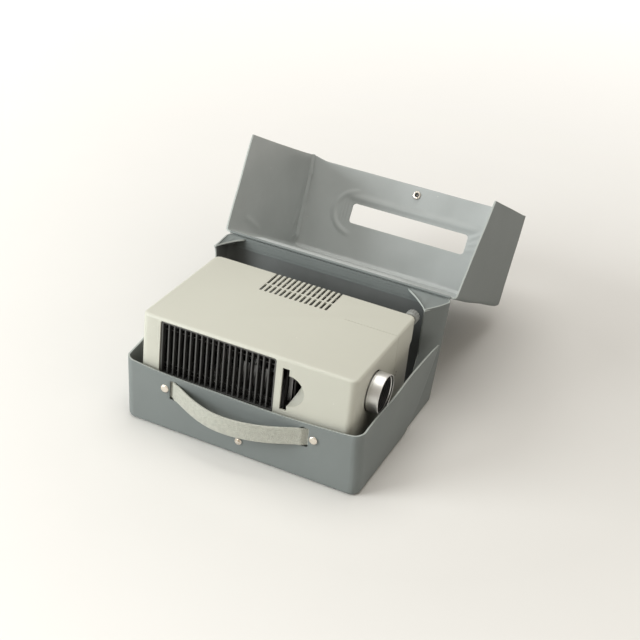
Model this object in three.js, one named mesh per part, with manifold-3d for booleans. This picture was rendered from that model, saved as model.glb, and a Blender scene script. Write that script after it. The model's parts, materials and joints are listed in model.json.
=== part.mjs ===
// A slide projector seated in its soft carrying case, with the box lid of the case thrown back.
// Millimetres. X runs along the projector's front, Y runs back, Z is up.
// The origin is the middle of the case's underside.
import * as THREE from "three";
import { mergeVertices } from "three/addons/utils/BufferGeometryUtils.js";
import Module from "manifold-3d";

const wasm = await Module();
wasm.setup();

// Gaps between neighbours
const seat = 0.3; // between two pieces that rest on each other
const overrun = 1; // how far a cutting tool reaches past the face that it cuts
const weld = 0.0001; // points closer than this are one point

// Projector body
const body_width = 268.5;
const body_depth = 175.4;
const body_height = 134.4;
const housing_wall = 2.4;
const housing_corner = 9;
const housing_top_edge = 3.5;
const lip_height = 21;
const lip_reach = 12.4;
const tray_step = 6;
const tray_step_height = 57;
const foot_height = 6;
const foot_radius = 8;
const foot_inset = 24;
const foot_screw_radius = 3;
const foot_travel = 4;
const pan_thickness = 2;
const rear_panel_thickness = 2;

// Grille
const grille_left = 25; // from the body's left side
const grille_pillar = 8; // between the grille and the slide slot
const grille_height = 71;
const grille_top = 3.2; // below the top face
const grille_corner = 3;
const grille_border = 2.4;
const grille_recess = 1.6;
const grille_depth = 9;
const fin_pitch = 7;
const fin_thickness = 1.6;
const bar_thickness = 1.5;
const bar_depth = 3;
const bar_height_shares = [0.07, 0.15, 0.85, 0.93];

// Slide slot and finger scoop
const slot_right = 79.7; // from the body's right side
const slot_width = 8.5;
const slot_height = 54;
const scoop_radius = 19.7;
const scoop_bulge = 6;
const scoop_drop = 0.6; // of the recess below the optical axis
const scoop_wall = 2;
const scoop_slope_share = 0.46; // sideways run of the scoop's straight edge against its height

// Top vents
const vent_count = 14;
const vent_pitch = 6.6;
const vent_width = 3.4;
const vent_left = 84.5; // from the body's left side
const vent_start = 50.4; // from the body's back
const vent_front_length = 18;
const vent_rib = 3;
const vent_drop = 11;
const seam_depth = 0.5;
const seam_width = 0.6;
const seam_back = 56.9; // from the body's back
const seam_right = 69; // from the body's right side

// Lens and its drive
const lens_back = 54; // optical axis, from the body's front
const lens_height = 104.8; // optical axis above the ground
const ring_radius = 23.6;
const ring_reach = 15.5;
const ring_gap = 0.8;
const barrel_radius = 20.5;
const barrel_length = 57;
const cone_mouth = 21.6;
const cone_throat = 14.5;
const cone_wall = 1.2;
const cone_depth = 13;
const front_glass_radius = 16.8;
const front_glass_edge = 3;
const front_glass_crown = 3.5;
const rear_glass_radius = 16.8;
const rear_glass_edge = 3;
const rear_glass_crown = 3;
const sleeve_wall = 2;
const sleeve_length = 46;
const sleeve_web = 4;
const running_gap = 0.3;
const gear_module = 1;
const gear_width = 6;
const knob_gear_teeth = 10;
const idler_teeth = 11;
const gear_backlash = 0.35;
const gear_spread = 0.1;
const pressure_angle = THREE.MathUtils.degToRad(25);
const addendum_share = 0.8;
const dedendum_share = 1.1;
const idler_pin_radius = 1.5;
const shaft_radius = 2.4;
const knob_radius = 8.4;
const knob_length = 14;
const knob_side = 9; // knob axis, in from the body's right side
const knob_flutes = 14;
const knob_flute_radius = 0.9;
const bush_radius = 5;
const bush_flange = 6.6;
const rack_width = 6;
const rack_base = 1.4;
const rack_length = 21;
const rack_lead = 4.8; // behind the idler's axis
const focus_turn = THREE.MathUtils.degToRad(140);
const bracket_thickness = 2;

// Slide gate and carriage
const gate_wall = 2;
const gate_front = 17; // behind the body's front face
const gate_length = 70;
const gate_height = 66;
const aperture = 40;
const carriage_thickness = 4.6;
const carriage_border = 6;
const carriage_length = 54;

// Lamp house
const bench_thickness = 2;
const bench_height = 62; // above the ground
const bench_tail = 34; // behind the lamp
const bench_post = 4;
const lamp_to_slot = 81.8; // from the lamp's axis to the slide slot
const lamp_radius = 6.5;
const lamp_height = 44;
const socket_width = 22;
const socket_depth = 18;
const socket_height = 20;
const mirror_radius = 24;
const mirror_depth = 9;
const mirror_wall = 1.6;
const mirror_back = 24; // behind the lamp
const condenser_radius = 24;
const condenser_edge = 3;
const condenser_crown = 7;
const condenser_lip = 1.2; // how far a cell's lip overlaps the glass
const condenser_rear_gap = 16; // from the lamp to the first lens
const filter_thickness = 3;
const filter_gap = 7;
const condenser_front_gap = 7;
const cell_wall = 2.2;
const cell_width = 56;

// Fan, transformer, inlet and switch
const fan_to_slot = 89.8; // from the fan's axis to the slide slot
const fan_height = 74;
const fan_radius = 38;
const fan_blades = 7;
const fan_hub = 11;
const fan_width = 13;
const blade_thickness = 1.8;
const blade_pitch = THREE.MathUtils.degToRad(38);
const fan_back = 63.4; // front of the impeller, from the body's back
const motor_radius = 22;
const motor_length = 24;
const motor_shaft_radius = 2;
const motor_foot = 5;
const core_width = 66;
const core_depth = 34;
const core_height = 56;
const core_right = 32; // from the body's right side
const core_back = 21.4; // from the body's back
const coil_width = 38;
const coil_depth = 44;
const coil_height = 34;
const core_window_width = 11;
const inlet_left = 24.5; // from the body's left side
const inlet_width = 28;
const inlet_height = 20;
const inlet_depth = 13;
const inlet_rim = 3;
const inlet_pin = 3;
const inlet_level = 40;
const switch_to_slot = 47.8; // from the switch's left side to the slide slot
const switch_width = 14;
const switch_height = 22;
const switch_depth = 12;
const switch_rim = 2.5;
const rocker_turn = THREE.MathUtils.degToRad(12);
const tray_guide_height = 14;
const tray_guide_depth = 4;
const tray_groove = 3;

// Carrying case
const vinyl = 2;
const floor_thickness = 2.5;
const case_left_gap = 12;
const ring_air = 0.5; // from the lens ring to the case at floor level
const case_front_gap = 3;
const storage_gap = 57.6;
const case_corner = 17;
const back_corner = 8;
const case_flare = 5.5; // how far the case widens to each side at the hinge's height
const lid_gap = 0.8; // from the projector's top to the closed lid
const bead_radius = 1.6;
const bead_gap = 0.4;
const front_wall_height = 75;
const front_corner_rise = 7;
const wing_top = 98.5;
const wing_apex_back = 210; // apex of the wing, behind the case's front
const wing_foot_back = 140;
const wing_bulge = 7;
const wing_droop = 3; // of the wing's top edge at its apex
const wing_rise_share = 0.74; // share of the wing's length over which its top edge climbs
const return_foot_back = 144;
const return_back = 206.5; // front edge of the side returns above the wings, behind the case's front
const return_top_back = 197.5;
const return_level_shares = [0, 0.26, 0.52, 0.68, 0.84, 1]; // heights of the back wall's rows
const bend_row = 2; // the row from which the returns lean inwards
const right_lean = 18.3;
const left_lean = 3;
const gusset_back_reach_right = 57;
const gusset_back_reach_left = 26;
const hem_depth = 16;
const hem_thickness = 0.8;

// Handle and fasteners
const strap_width = 22.5;
const strap_thickness = 2.2;
const strap_level = 57.5;
const strap_centre = -3; // the strap sits a little to the left of the middle
const slit_half_span = 83.5;
const slit_width = 8;
const slit_slack = 1.6;
const rivet_half_span = 95;
const strap_tail = 8;
const strap_bow = 18;
const strap_sag = 7.5;
const strap_peak_share = -0.12; // where the bow is widest, as a share of the half span
const rivet_head = 5.2;
const rivet_rise = 1.7;
const rivet_shank = 1.6;
const washer_radius = 5;
const washer_thickness = 1;
const stud_level = 20.3;
const stud_flange = 4.6;
const stud_flange_thickness = 0.8;
const stud_neck = 2;
const stud_head = 2.6;
const stud_height = 3.4;
const snap_pull = 8.2; // how far the soft flap is pulled down to snap on the stud
const socket_outer = 5.6;
const socket_bore = 3.1;
const socket_thickness = 1.2;

// Lid
const lid_open = THREE.MathUtils.degToRad(206.75);
const lid_side_gap = 0.6;
const flap_gap = 2.6; // from the case's rim to the closed flap
const flap_length = 130;
const side_front_depth = 128;
const side_rear_length = 133;
const side_rear_angle = THREE.MathUtils.degToRad(69);
const lid_corner = 7;
const lid_left_splay = 13; // how far the rear low corner of the left side has spread outwards
const handle_slot_length = 176;
const handle_slot_height = 28.5;
const handle_slot_up = 47; // from the flap's free edge
const handle_slot_corner = 5;

// Places that follow from the sizes
const case_right_gap = ring_reach + ring_air;
const inner_width = case_left_gap + body_width + case_right_gap;
const inner_depth = case_front_gap + body_depth + storage_gap;
const half_width = inner_width / 2 + vinyl;
const half_depth = inner_depth / 2 + vinyl;
const body_left = -inner_width / 2 + case_left_gap;
const body_right = body_left + body_width;
const body_front = -inner_depth / 2 + case_front_gap;
const body_back = body_front + body_depth;
const foot_bottom = floor_thickness + seat;
const body_bottom = foot_bottom + foot_height;
const body_top = body_bottom + body_height;
const hinge_height = body_top + lid_gap + vinyl / 2;
const shell_top = hinge_height - bead_radius - bead_gap;
const flare_rate = case_flare / half_width / shell_top;
const flareAt = (z) => 1 + flare_rate * z;
const hinge_back = (half_depth - vinyl / 2) * flareAt(shell_top);
const lens_y = body_front + lens_back;
const lens_z = lens_height;

// Shapes and solids
const shares = (count) => Array.from({ length: count + 1 }, (_, i) => i / count);
const flat = (points) => new THREE.Shape(points.map(([a, b]) => new THREE.Vector2(a, b)));

function roundRect(x0, x1, y0, y1, r) {
  const s = new THREE.Shape();
  s.absarc(x1 - r, y0 + r, r, -Math.PI / 2, 0);
  s.absarc(x1 - r, y1 - r, r, 0, Math.PI / 2);
  s.absarc(x0 + r, y1 - r, r, Math.PI / 2, Math.PI);
  s.absarc(x0 + r, y0 + r, r, Math.PI, 1.5 * Math.PI);
  s.closePath();
  return s;
}

// A slot with round ends, running along y.
function roundSlot(x, y0, y1, width) {
  const r = width / 2;
  const end = (y, start) =>
    shares(3).map((f) => [x + r * Math.cos(start + f * Math.PI), y + r * Math.sin(start + f * Math.PI)]);
  return flat([...end(y1 - r, 0), ...end(y0 + r, Math.PI)]);
}

function disc(r, x = 0, y = 0) {
  const s = new THREE.Shape();
  s.absarc(x, y, r, 0, 2 * Math.PI);
  return s;
}

// Turns a solid made along Z so that it runs along X or Y: its own x and y become y and z, or x and z.
function aim(g, axis) {
  if (axis === "X") g.applyMatrix4(new THREE.Matrix4().set(0, 0, 1, 0, 1, 0, 0, 0, 0, 1, 0, 0, 0, 0, 0, 1));
  if (axis === "Y") g.rotateX(Math.PI / 2);
  return g;
}

// A flat outline pushed along an axis from one place to another.
function prism(axis, shape, from, to, curveSegments = 1) {
  const g = new THREE.ExtrudeGeometry(shape, { depth: to - from, bevelEnabled: false, curveSegments });
  aim(g, axis);
  if (axis === "X") g.translate(from, 0, 0);
  if (axis === "Y") g.translate(0, to, 0);
  if (axis === "Z") g.translate(0, 0, from);
  return g;
}

// A block between two corners.
function block(x0, x1, y0, y1, z0, z1) {
  return prism("Z", flat([[x0, y0], [x1, y0], [x1, y1], [x0, y1]]), z0, z1);
}

// A round rod along an axis; u and v are its place across that axis.
function rod(axis, r, from, to, u = 0, v = 0, around = 12) {
  return prism(axis, disc(r, u, v), from, to, around / 2);
}

// A body turned about an axis. The outline gives places along the axis and radii; it is closed or ends
// on the axis, and may run either way round.
function turned(axis, outline, x, y, z, around = 24) {
  const area = THREE.ShapeUtils.area(outline.map(([a, r]) => new THREE.Vector2(a, r)));
  const run = area > 0 ? [...outline].reverse() : outline;
  const g = new THREE.LatheGeometry(run.map(([a, r]) => new THREE.Vector2(r, a)), around);
  if (axis === "X") g.rotateZ(-Math.PI / 2);
  if (axis === "Z") g.rotateX(Math.PI / 2);
  return g.translate(x, y, z);
}

function solid(g) {
  const bare = g.index ? g.toNonIndexed() : g.clone();
  bare.deleteAttribute("normal");
  bare.deleteAttribute("uv");
  const merged = mergeVertices(bare, weld);
  const made = new wasm.Manifold(
    new wasm.Mesh({
      numProp: 3,
      vertProperties: new Float32Array(merged.attributes.position.array),
      triVerts: new Uint32Array(merged.index.array),
    }),
  );
  return made;
}

function surface(made) {
  const { vertProperties, triVerts } = made.getMesh();
  return new THREE.BufferGeometry()
    .setAttribute("position", new THREE.BufferAttribute(new Float32Array(vertProperties), 3))
    .setIndex(new THREE.BufferAttribute(new Uint32Array(triVerts), 1));
}

const join = (first, ...more) => surface(more.reduce((s, g) => s.add(solid(g)), solid(first)));
const cut = (first, ...tools) => surface(tools.reduce((s, g) => s.subtract(solid(g)), solid(first)));
const common = (first, ...more) => surface(more.reduce((s, g) => s.intersect(solid(g)), solid(first)));

// A closed wall between an outer and an inner net of points. Each row holds as many points on both faces.
function wallBetween(rows) {
  const n = rows[0].outer.length;
  const points = rows.flatMap((row) => [...row.outer, ...row.inner]);
  const at = (j, face, i) => (2 * j + face) * n + i;
  const faces = [];
  const quad = (a, b, c, d) => faces.push(a, b, c, a, c, d);
  for (let j = 0; j + 1 < rows.length; j++) {
    for (let i = 0; i + 1 < n; i++) {
      quad(at(j, 0, i), at(j, 0, i + 1), at(j + 1, 0, i + 1), at(j + 1, 0, i));
      quad(at(j, 1, i + 1), at(j, 1, i), at(j + 1, 1, i), at(j + 1, 1, i + 1));
    }
    quad(at(j, 1, 0), at(j, 0, 0), at(j + 1, 0, 0), at(j + 1, 1, 0));
    quad(at(j, 0, n - 1), at(j, 1, n - 1), at(j + 1, 1, n - 1), at(j + 1, 0, n - 1));
  }
  const last = rows.length - 1;
  for (let i = 0; i + 1 < n; i++) {
    quad(at(0, 1, i), at(0, 1, i + 1), at(0, 0, i + 1), at(0, 0, i));
    quad(at(last, 0, i), at(last, 0, i + 1), at(last, 1, i + 1), at(last, 1, i));
  }
  let volume = 0;
  const [a, b, c] = [new THREE.Vector3(), new THREE.Vector3(), new THREE.Vector3()];
  for (let k = 0; k < faces.length; k += 3) {
    a.fromArray(points[faces[k]]);
    b.fromArray(points[faces[k + 1]]);
    c.fromArray(points[faces[k + 2]]);
    volume += a.dot(b.cross(c));
  }
  return new THREE.BufferGeometry()
    .setAttribute("position", new THREE.Float32BufferAttribute(points.flat(), 3))
    .setIndex(volume < 0 ? faces.reverse() : faces);
}

const root = new THREE.Group();

const finishes = {
  vinyl: { color: 0x868d8a, roughness: 0.55, metalness: 0 },
  strap: { color: 0xb7b8aa, roughness: 0.6, metalness: 0 },
  nickel: { color: 0xd9cfbf, roughness: 0.3, metalness: 1 },
  housing: { color: 0xd2cfbe, roughness: 0.45, metalness: 0 },
  black: { color: 0x262524, roughness: 0.5, metalness: 0 },
  aluminium: { color: 0xb9b9b4, roughness: 0.3, metalness: 1 },
  steel: { color: 0x8f9190, roughness: 0.4, metalness: 1 },
  glass: { color: 0xdfe8e8, roughness: 0.05, metalness: 0 },
  rubber: { color: 0x1d1d1c, roughness: 0.8, metalness: 0 },
  copper: { color: 0x9a5a33, roughness: 0.5, metalness: 0.3 },
  knob: { color: 0xb3b2a6, roughness: 0.4, metalness: 0 },
};
const materials = Object.fromEntries(
  Object.entries(finishes).map(([name, look]) => [name, new THREE.MeshStandardMaterial(look)]),
);

function add(name, finish, g, parent = root) {
  const mesh = new THREE.Mesh(g, materials[finish]);
  mesh.name = name;
  parent.add(mesh);
  return mesh;
}

// Carrying case: bottom, front shell with wings, back shell with returns and gussets
const lerp = THREE.MathUtils.lerp;
const flared = (x, y, z) => [x * flareAt(z), y * flareAt(z), z];

function frontShell() {
  const corner_y = -half_depth + case_corner;
  const rimAt = (x) => front_wall_height + front_corner_rise * Math.abs(x / half_width) ** 3;
  const rise = wing_top - rimAt(half_width);
  const wingRim = (f) => {
    const climb = Math.sin((Math.min(1, f / wing_rise_share) * Math.PI) / 2);
    const fall = Math.max(0, f - wing_rise_share) / (1 - wing_rise_share);
    return rimAt(half_width) + rise * climb - wing_droop * fall * fall;
  };
  const side = shares(7).map((f) => ({
    bottom: lerp(corner_y, wing_foot_back - half_depth, 1 - f),
    top: lerp(corner_y, wing_apex_back - half_depth, 1 - f),
    rim: wingRim(1 - f),
  }));
  for (const f of shares(4).slice(1)) side.push({ turn: (f * Math.PI) / 2 });
  const right = side.map((s) => ({ ...s, x: 1 }));
  const left = side.map((s) => ({ ...s, x: -1 })).reverse();
  const front = shares(10).slice(1, -1).map((f) => ({ x: 1 - 2 * f, front: true }));
  const all = [...right, ...front, ...left];
  const place = (s, inset, v) => {
    const straight = half_width - case_corner;
    if (s.front) {
      const x = s.x * straight;
      const z = v * rimAt(x);
      return flared(x, -half_depth + inset, z);
    }
    if (s.turn !== undefined) {
      const r = case_corner - inset;
      const x = s.x * (straight + r * Math.cos(s.turn));
      const z = v * rimAt(x);
      return flared(x, corner_y - r * Math.sin(s.turn), z);
    }
    const swell = s.bottom > corner_y ? wing_bulge * 4 * v * (1 - v) : 0;
    const along = (s.bottom - corner_y) / (wing_foot_back - half_depth - corner_y);
    const y = lerp(s.bottom, s.top, v) + swell * along;
    return flared(s.x * (half_width - inset), y, v * s.rim);
  };
  const rows = shares(3).map((v) => ({
    outer: all.map((s) => place(s, 0, v)),
    inner: all.map((s) => place(s, vinyl, v)),
  }));
  return wallBetween(rows);
}

function frontWallGroup() {
  const g = new THREE.Group();
  g.position.set(0, -half_depth, 0);
  g.rotation.x = Math.atan(half_depth * flare_rate);
  root.add(g);
  return g;
}

function backShell() {
  const foot = floor_thickness + seat;
  const half = half_width - vinyl - seat;
  const levels = return_level_shares.map((share) => lerp(foot, shell_top, share));
  const bend_start = levels[bend_row];
  const frontEdge = (z) =>
    z < bend_start
      ? lerp(return_foot_back, return_back, (z - foot) / (bend_start - foot)) - half_depth
      : lerp(return_back, return_top_back, (z - bend_start) / (shell_top - bend_start)) - half_depth;
  const lean = (z, side) => {
    const t = THREE.MathUtils.clamp((z - bend_start) / (shell_top - bend_start), 0, 1);
    return (side > 0 ? right_lean : left_lean) * Math.sin((t * Math.PI) / 2);
  };
  const corner_y = half_depth - back_corner;
  const path = (z, inset) => {
    const points = [];
    for (const side of [1, -1]) {
      const run = [];
      for (const f of shares(4)) {
        const y = lerp(frontEdge(z), corner_y, f);
        run.push(flared(side * (half - inset - lean(z, side) * (1 - f) ** 1.3), y, z));
      }
      for (const f of shares(4).slice(1)) {
        const r = back_corner - inset;
        const turn = (f * Math.PI) / 2;
        const x = half - back_corner + r * Math.cos(turn);
        run.push(flared(side * x, corner_y + r * Math.sin(turn), z));
      }
      if (side > 0) points.push(...run);
      else points.push(...run.reverse());
    }
    return points;
  };
  const walls = wallBetween(levels.map((z) => ({ outer: path(z, 0), inner: path(z, vinyl) })));
  const top = path(shell_top, vinyl / 2);
  const [right, left] = [top[0], top[top.length - 1]];
  const gussets = [
    [right, gusset_back_reach_right, 1],
    [left, gusset_back_reach_left, -1],
  ].map(([tip, reach, side]) => {
    const back = (half_depth - vinyl / 2) * flareAt(shell_top);
    const wide = (half - vinyl / 2) * flareAt(shell_top);
    const inner = [side * (wide - reach), back];
    const bow = [lerp(inner[0], tip[0], 0.55) + side * vinyl * 2, lerp(inner[1], tip[1], 0.5)];
    const corner = [side * (wide - vinyl), back];
    const edge = [side * wide, corner_y * flareAt(shell_top)];
    const outline = side > 0 ? [tip, edge, corner, inner, bow] : [tip, bow, inner, corner, edge];
    return prism("Z", flat(outline.map(([x, y]) => [x, y])), shell_top - vinyl, shell_top);
  });
  const hem_half = half - back_corner;
  const hem_y = (half_depth - vinyl) * flareAt(shell_top - hem_depth);
  const hem_low = shell_top - hem_depth;
  const hem = block(-hem_half, hem_half, hem_y - hem_thickness, hem_y + vinyl / 2, hem_low, shell_top);
  return join(walls, ...gussets, hem);
}

add("case_back_shell", "vinyl", backShell());

const bottom_half = half_width - vinyl - seat;
add(
  "case_bottom",
  "vinyl",
  prism(
    "Z",
    roundRect(-bottom_half, bottom_half, -half_depth + vinyl + seat, half_depth, case_corner - vinyl),
    0,
    floor_thickness,
  ),
);

// Handle strap, rivets and stud, in a frame that lies on the sloping front wall
const front_wall = frontWallGroup();
const strap_low = strap_level - strap_width / 2;
const strap_high = strap_level + strap_width / 2;

function strap() {
  const end = rivet_half_span + strap_tail;
  const inside = vinyl * flareAt(strap_level) + seat + strap_thickness / 2 + seat;
  const outside = -seat - strap_thickness / 2;
  const cross = slit_width / 2;
  const line = (x) => {
    const a = Math.abs(x);
    if (a >= slit_half_span + cross) return inside;
    if (a >= slit_half_span - cross) {
      const t = (slit_half_span + cross - a) / slit_width;
      return lerp(inside, outside, t * t * (3 - 2 * t));
    }
    const half = slit_half_span - cross;
    const peak = strap_peak_share * half;
    const t = (x - peak) / (x < peak ? half + peak : half - peak);
    return outside - strap_bow * (1 - t * t) ** 1.15;
  };
  const across = shares(38).map((f) => lerp(-end, end, f));
  const outline = [...across.map((x) => [x, line(x)])];
  const normal = (x) => {
    const step = strap_thickness / 8;
    const slope = (line(x + step) - line(x - step)) / (2 * step);
    const size = Math.hypot(1, slope);
    return [-slope / size, 1 / size];
  };
  const sideOf = (sign) =>
    outline.map(([x, y]) => {
      const [nx, ny] = normal(x);
      return [x + (sign * nx * strap_thickness) / 2, y + (sign * ny * strap_thickness) / 2];
    });
  const ring = [...sideOf(-1), ...sideOf(1).reverse()];
  const g = prism("Z", flat(ring), strap_low, strap_high);
  const p = g.attributes.position;
  for (let i = 0; i < p.count; i++) {
    const out = Math.max(0, -p.getY(i) - strap_thickness) / strap_bow;
    p.setZ(i, p.getZ(i) - strap_sag * out);
  }
  const holes = [-1, 1].map((side) =>
    rod("Y", rivet_shank + seat, 0, vinyl + 3 * strap_thickness, side * rivet_half_span, strap_level, 10),
  );
  return cut(g, ...holes).translate(strap_centre, 0, 0);
}

function slitTool(side) {
  const a = strap_centre + side * slit_half_span;
  return block(
    a - slit_width / 2 - strap_thickness / 2,
    a + slit_width / 2 + strap_thickness / 2,
    -overrun,
    vinyl + overrun,
    strap_low - slit_slack,
    strap_high + slit_slack,
  );
}

const strap_inner_face = vinyl * flareAt(strap_level) + seat + strap_thickness + seat;

function rivet(side) {
  const inner = strap_inner_face + seat;
  const outline = [
    [-seat - rivet_rise, 0],
    [-seat - rivet_rise, rivet_head * 0.45],
    [-seat - rivet_rise * 0.6, rivet_head * 0.85],
    [-seat, rivet_head],
    [-seat, rivet_shank],
    [inner, rivet_shank],
    [inner, washer_radius],
    [inner + washer_thickness, washer_radius],
    [inner + washer_thickness, 0],
  ];
  return turned("Y", outline, strap_centre + side * rivet_half_span, 0, strap_level, 12);
}

function wallHole(r, x, z) {
  return rod("Y", r, -overrun, vinyl + overrun, x, z, 10);
}

const stud_back = vinyl * flareAt(stud_level) + seat;
const stud_outline = [
  [-stud_height, 0],
  [-stud_height, stud_head * 0.8],
  [-stud_height + stud_flange_thickness, stud_head],
  [-stud_height + 2 * stud_flange_thickness, stud_neck],
  [-seat - stud_flange_thickness, stud_neck],
  [-seat - stud_flange_thickness, stud_flange * 0.9],
  [-seat, stud_flange],
  [-seat, rivet_shank],
  [stud_back, rivet_shank],
  [stud_back, stud_flange],
  [stud_back + stud_flange_thickness, stud_flange],
  [stud_back + stud_flange_thickness, 0],
];

const toWall = (g) => g.applyMatrix4(front_wall.matrix);
front_wall.updateMatrix();
const shank_hole = rivet_shank + seat;
add(
  "case_front_shell",
  "vinyl",
  cut(
    frontShell(),
    ...[-1, 1].map((side) => toWall(slitTool(side))),
    ...[-1, 1].map((side) => {
      return toWall(wallHole(shank_hole, strap_centre + side * rivet_half_span, strap_level));
    }),
    toWall(wallHole(shank_hole, 0, stud_level)),
  ),
);
add("handle_strap", "strap", strap(), front_wall);
add("handle_rivet_left", "nickel", rivet(-1), front_wall);
add("handle_rivet_right", "nickel", rivet(1), front_wall);
add("snap_stud", "nickel", turned("Y", stud_outline, 0, 0, stud_level, 12), front_wall);

// Lid, drawn closed about its hinge and then thrown open
const lid = new THREE.Group();
lid.position.set(0, hinge_back, hinge_height);
lid.rotation.x = -lid_open;
root.add(lid);
const lid_inner_half = half_width * flareAt(shell_top) + lid_side_gap;
const rim_reach = half_depth * flareAt(front_wall_height + front_corner_rise);
const flap_inner = -(rim_reach + flap_gap + hinge_back);
const flap_outer = flap_inner - vinyl;
const lid_top = vinyl / 2;
const flap_bottom = lid_top - flap_length;

function lidShell() {
  const outer_half = lid_inner_half + vinyl;
  const rear_end = -side_rear_length * Math.cos(side_rear_angle);
  const rear_low = -side_rear_length * Math.sin(side_rear_angle);
  const rear_start = -2 * bead_radius;
  const corner_y = flap_outer + lid_corner;
  const stations = [];
  for (const f of shares(6)) stations.push({ f });
  for (const f of shares(4).slice(1)) stations.push({ turn: (f * Math.PI) / 2 });
  const low = (y) => lerp(-side_front_depth, rear_low, (y - corner_y) / (rear_end - corner_y));
  const place = (s, side, inset, v) => {
    if (s.turn !== undefined) {
      const r = lid_corner - inset;
      const x = outer_half - lid_corner + r * Math.cos(s.turn);
      const z = lerp(lerp(low(corner_y), flap_bottom, s.turn / (Math.PI / 2)), 0, v);
      return [side * x, corner_y - r * Math.sin(s.turn), z];
    }
    const bottom = lerp(rear_end, corner_y, s.f);
    const top = lerp(rear_start, corner_y, s.f);
    const spread = side < 0 ? lid_left_splay * (1 - v) * (1 - s.f) ** 1.5 : 0;
    return [side * (outer_half - inset + spread), lerp(bottom, top, v), lerp(low(bottom), 0, v)];
  };
  const row = (inset, v) => [
    ...stations.map((s) => place(s, 1, inset, v)),
    ...stations.map((s) => place(s, -1, inset, v)).reverse(),
  ];
  const walls = wallBetween(shares(3).map((v) => ({ outer: row(0, v), inner: row(vinyl, v) })));
  const panel = prism(
    "Z",
    roundRect(-outer_half, outer_half, flap_outer, 0, lid_corner),
    -lid_top,
    lid_top,
  );
  const trimmed = cut(
    panel,
    block(-outer_half - overrun, outer_half + overrun, -bead_radius, overrun, -vinyl, vinyl),
  );
  const bead = rod("X", bead_radius, -outer_half + lid_corner, outer_half - lid_corner, 0, 0, 12);
  const web = block(
    -outer_half + lid_corner,
    outer_half - lid_corner,
    -2 * bead_radius,
    0,
    -lid_top * 0.8,
    lid_top * 0.8,
  );
  const slot_low = flap_bottom + handle_slot_up;
  const slot = prism(
    "Y",
    roundRect(
      -handle_slot_length / 2,
      handle_slot_length / 2,
      slot_low,
      slot_low + handle_slot_height,
      handle_slot_corner,
    ),
    flap_outer - overrun,
    flap_inner + overrun,
    4,
  );
  const socket_hole = rod("Y", socket_bore, flap_outer - overrun, flap_inner + overrun, 0, socket_z, 12);
  return cut(join(walls, trimmed, web, bead), slot, socket_hole);
}

// The socket sits where the stud meets the closed flap once the flap is pulled down.
const socket_z = (stud_level + snap_pull) * Math.cos(front_wall.rotation.x) - hinge_height;
add("lid_shell", "vinyl", lidShell(), lid);

function snapSocket() {
  const grip = socket_outer;
  const cap = flap_outer - seat;
  const face = flap_inner + seat;
  const neck = socket_bore - seat;
  const bore = stud_head + seat;
  return turned(
    "Y",
    [
      [cap - stud_flange_thickness, 0],
      [cap - stud_flange_thickness, grip],
      [cap, grip],
      [cap, neck],
      [face, neck],
      [face, grip],
      [face + socket_thickness, grip * 0.85],
      [face + socket_thickness, bore],
      [face, bore * 0.8],
      [face - socket_thickness, 0],
    ],
    0,
    0,
    socket_z,
    14,
  );
}
add("lid_snap_socket", "nickel", snapSocket(), lid);

// Projector housing
const lip_low = body_top - lip_height;
const rear_face = body_back - lip_reach;
const lip_foot = lip_low - lip_reach;
const step_top = body_bottom + tray_step_height;
const slot_x1 = body_right - slot_right;
const slot_x0 = slot_x1 - slot_width;
const slot_z0 = lens_z - slot_height / 2;
const slot_z1 = lens_z + slot_height / 2;
const grille_x0 = body_left + grille_left;
const grille_x1 = slot_x0 - grille_pillar;
const grille_z1 = body_top - grille_top;
const grille_z0 = grille_z1 - grille_height;
const knob_x = body_right - knob_side;
const knob_z = body_top - knob_radius;

function roundedBox(inset) {
  const r = housing_top_edge;
  const x = inset + r;
  const shape = roundRect(
    body_left + x,
    body_right - x,
    body_front + x,
    body_back - x,
    Math.max(housing_corner - x, housing_wall / 2),
  );
  const g = new THREE.ExtrudeGeometry(shape, {
    depth: body_height - inset,
    bevelEnabled: true,
    bevelThickness: r,
    bevelSize: r,
    bevelSegments: 3,
    curveSegments: 2,
  });
  return g.translate(0, 0, body_bottom - r);
}

const scoop_z = lens_z - scoop_drop;

// The recess is the half of a round hole that lies to the right of the slot.
function fingerCut() {
  const back = body_front + housing_wall + overrun;
  const hole = rod("Y", scoop_radius, body_front - overrun, back, slot_x1, scoop_z, 28);
  const half = block(
    slot_x1 - overrun,
    slot_x1 + scoop_radius + overrun,
    body_front - overrun,
    back,
    scoop_z - scoop_radius - overrun,
    scoop_z + scoop_radius + overrun,
  );
  return common(hole, half);
}

function fingerScoop() {
  const y = body_front - scoop_bulge;
  const inner = Math.hypot(scoop_radius, scoop_bulge);
  const z = scoop_z;
  const ball = (r) => new THREE.SphereGeometry(r, 24, 16).rotateX(Math.PI / 2).translate(slot_x1, y, z);
  const reach = inner + scoop_wall;
  const sill = body_front + housing_wall / 2;
  const run = slot_height * scoop_slope_share;
  const keep = prism(
    "Y",
    flat([
      [slot_x1 + seat, z - scoop_radius],
      [slot_x1 + seat, z - scoop_radius - scoop_wall],
      [slot_x1 + reach, z - reach],
      [slot_x1 + reach, z + run],
      [slot_x1 + scoop_radius * 0.79, z + scoop_radius * 0.63],
    ]),
    sill,
    y + reach,
  );
  return common(cut(ball(reach), ball(inner)), keep);
}

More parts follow.
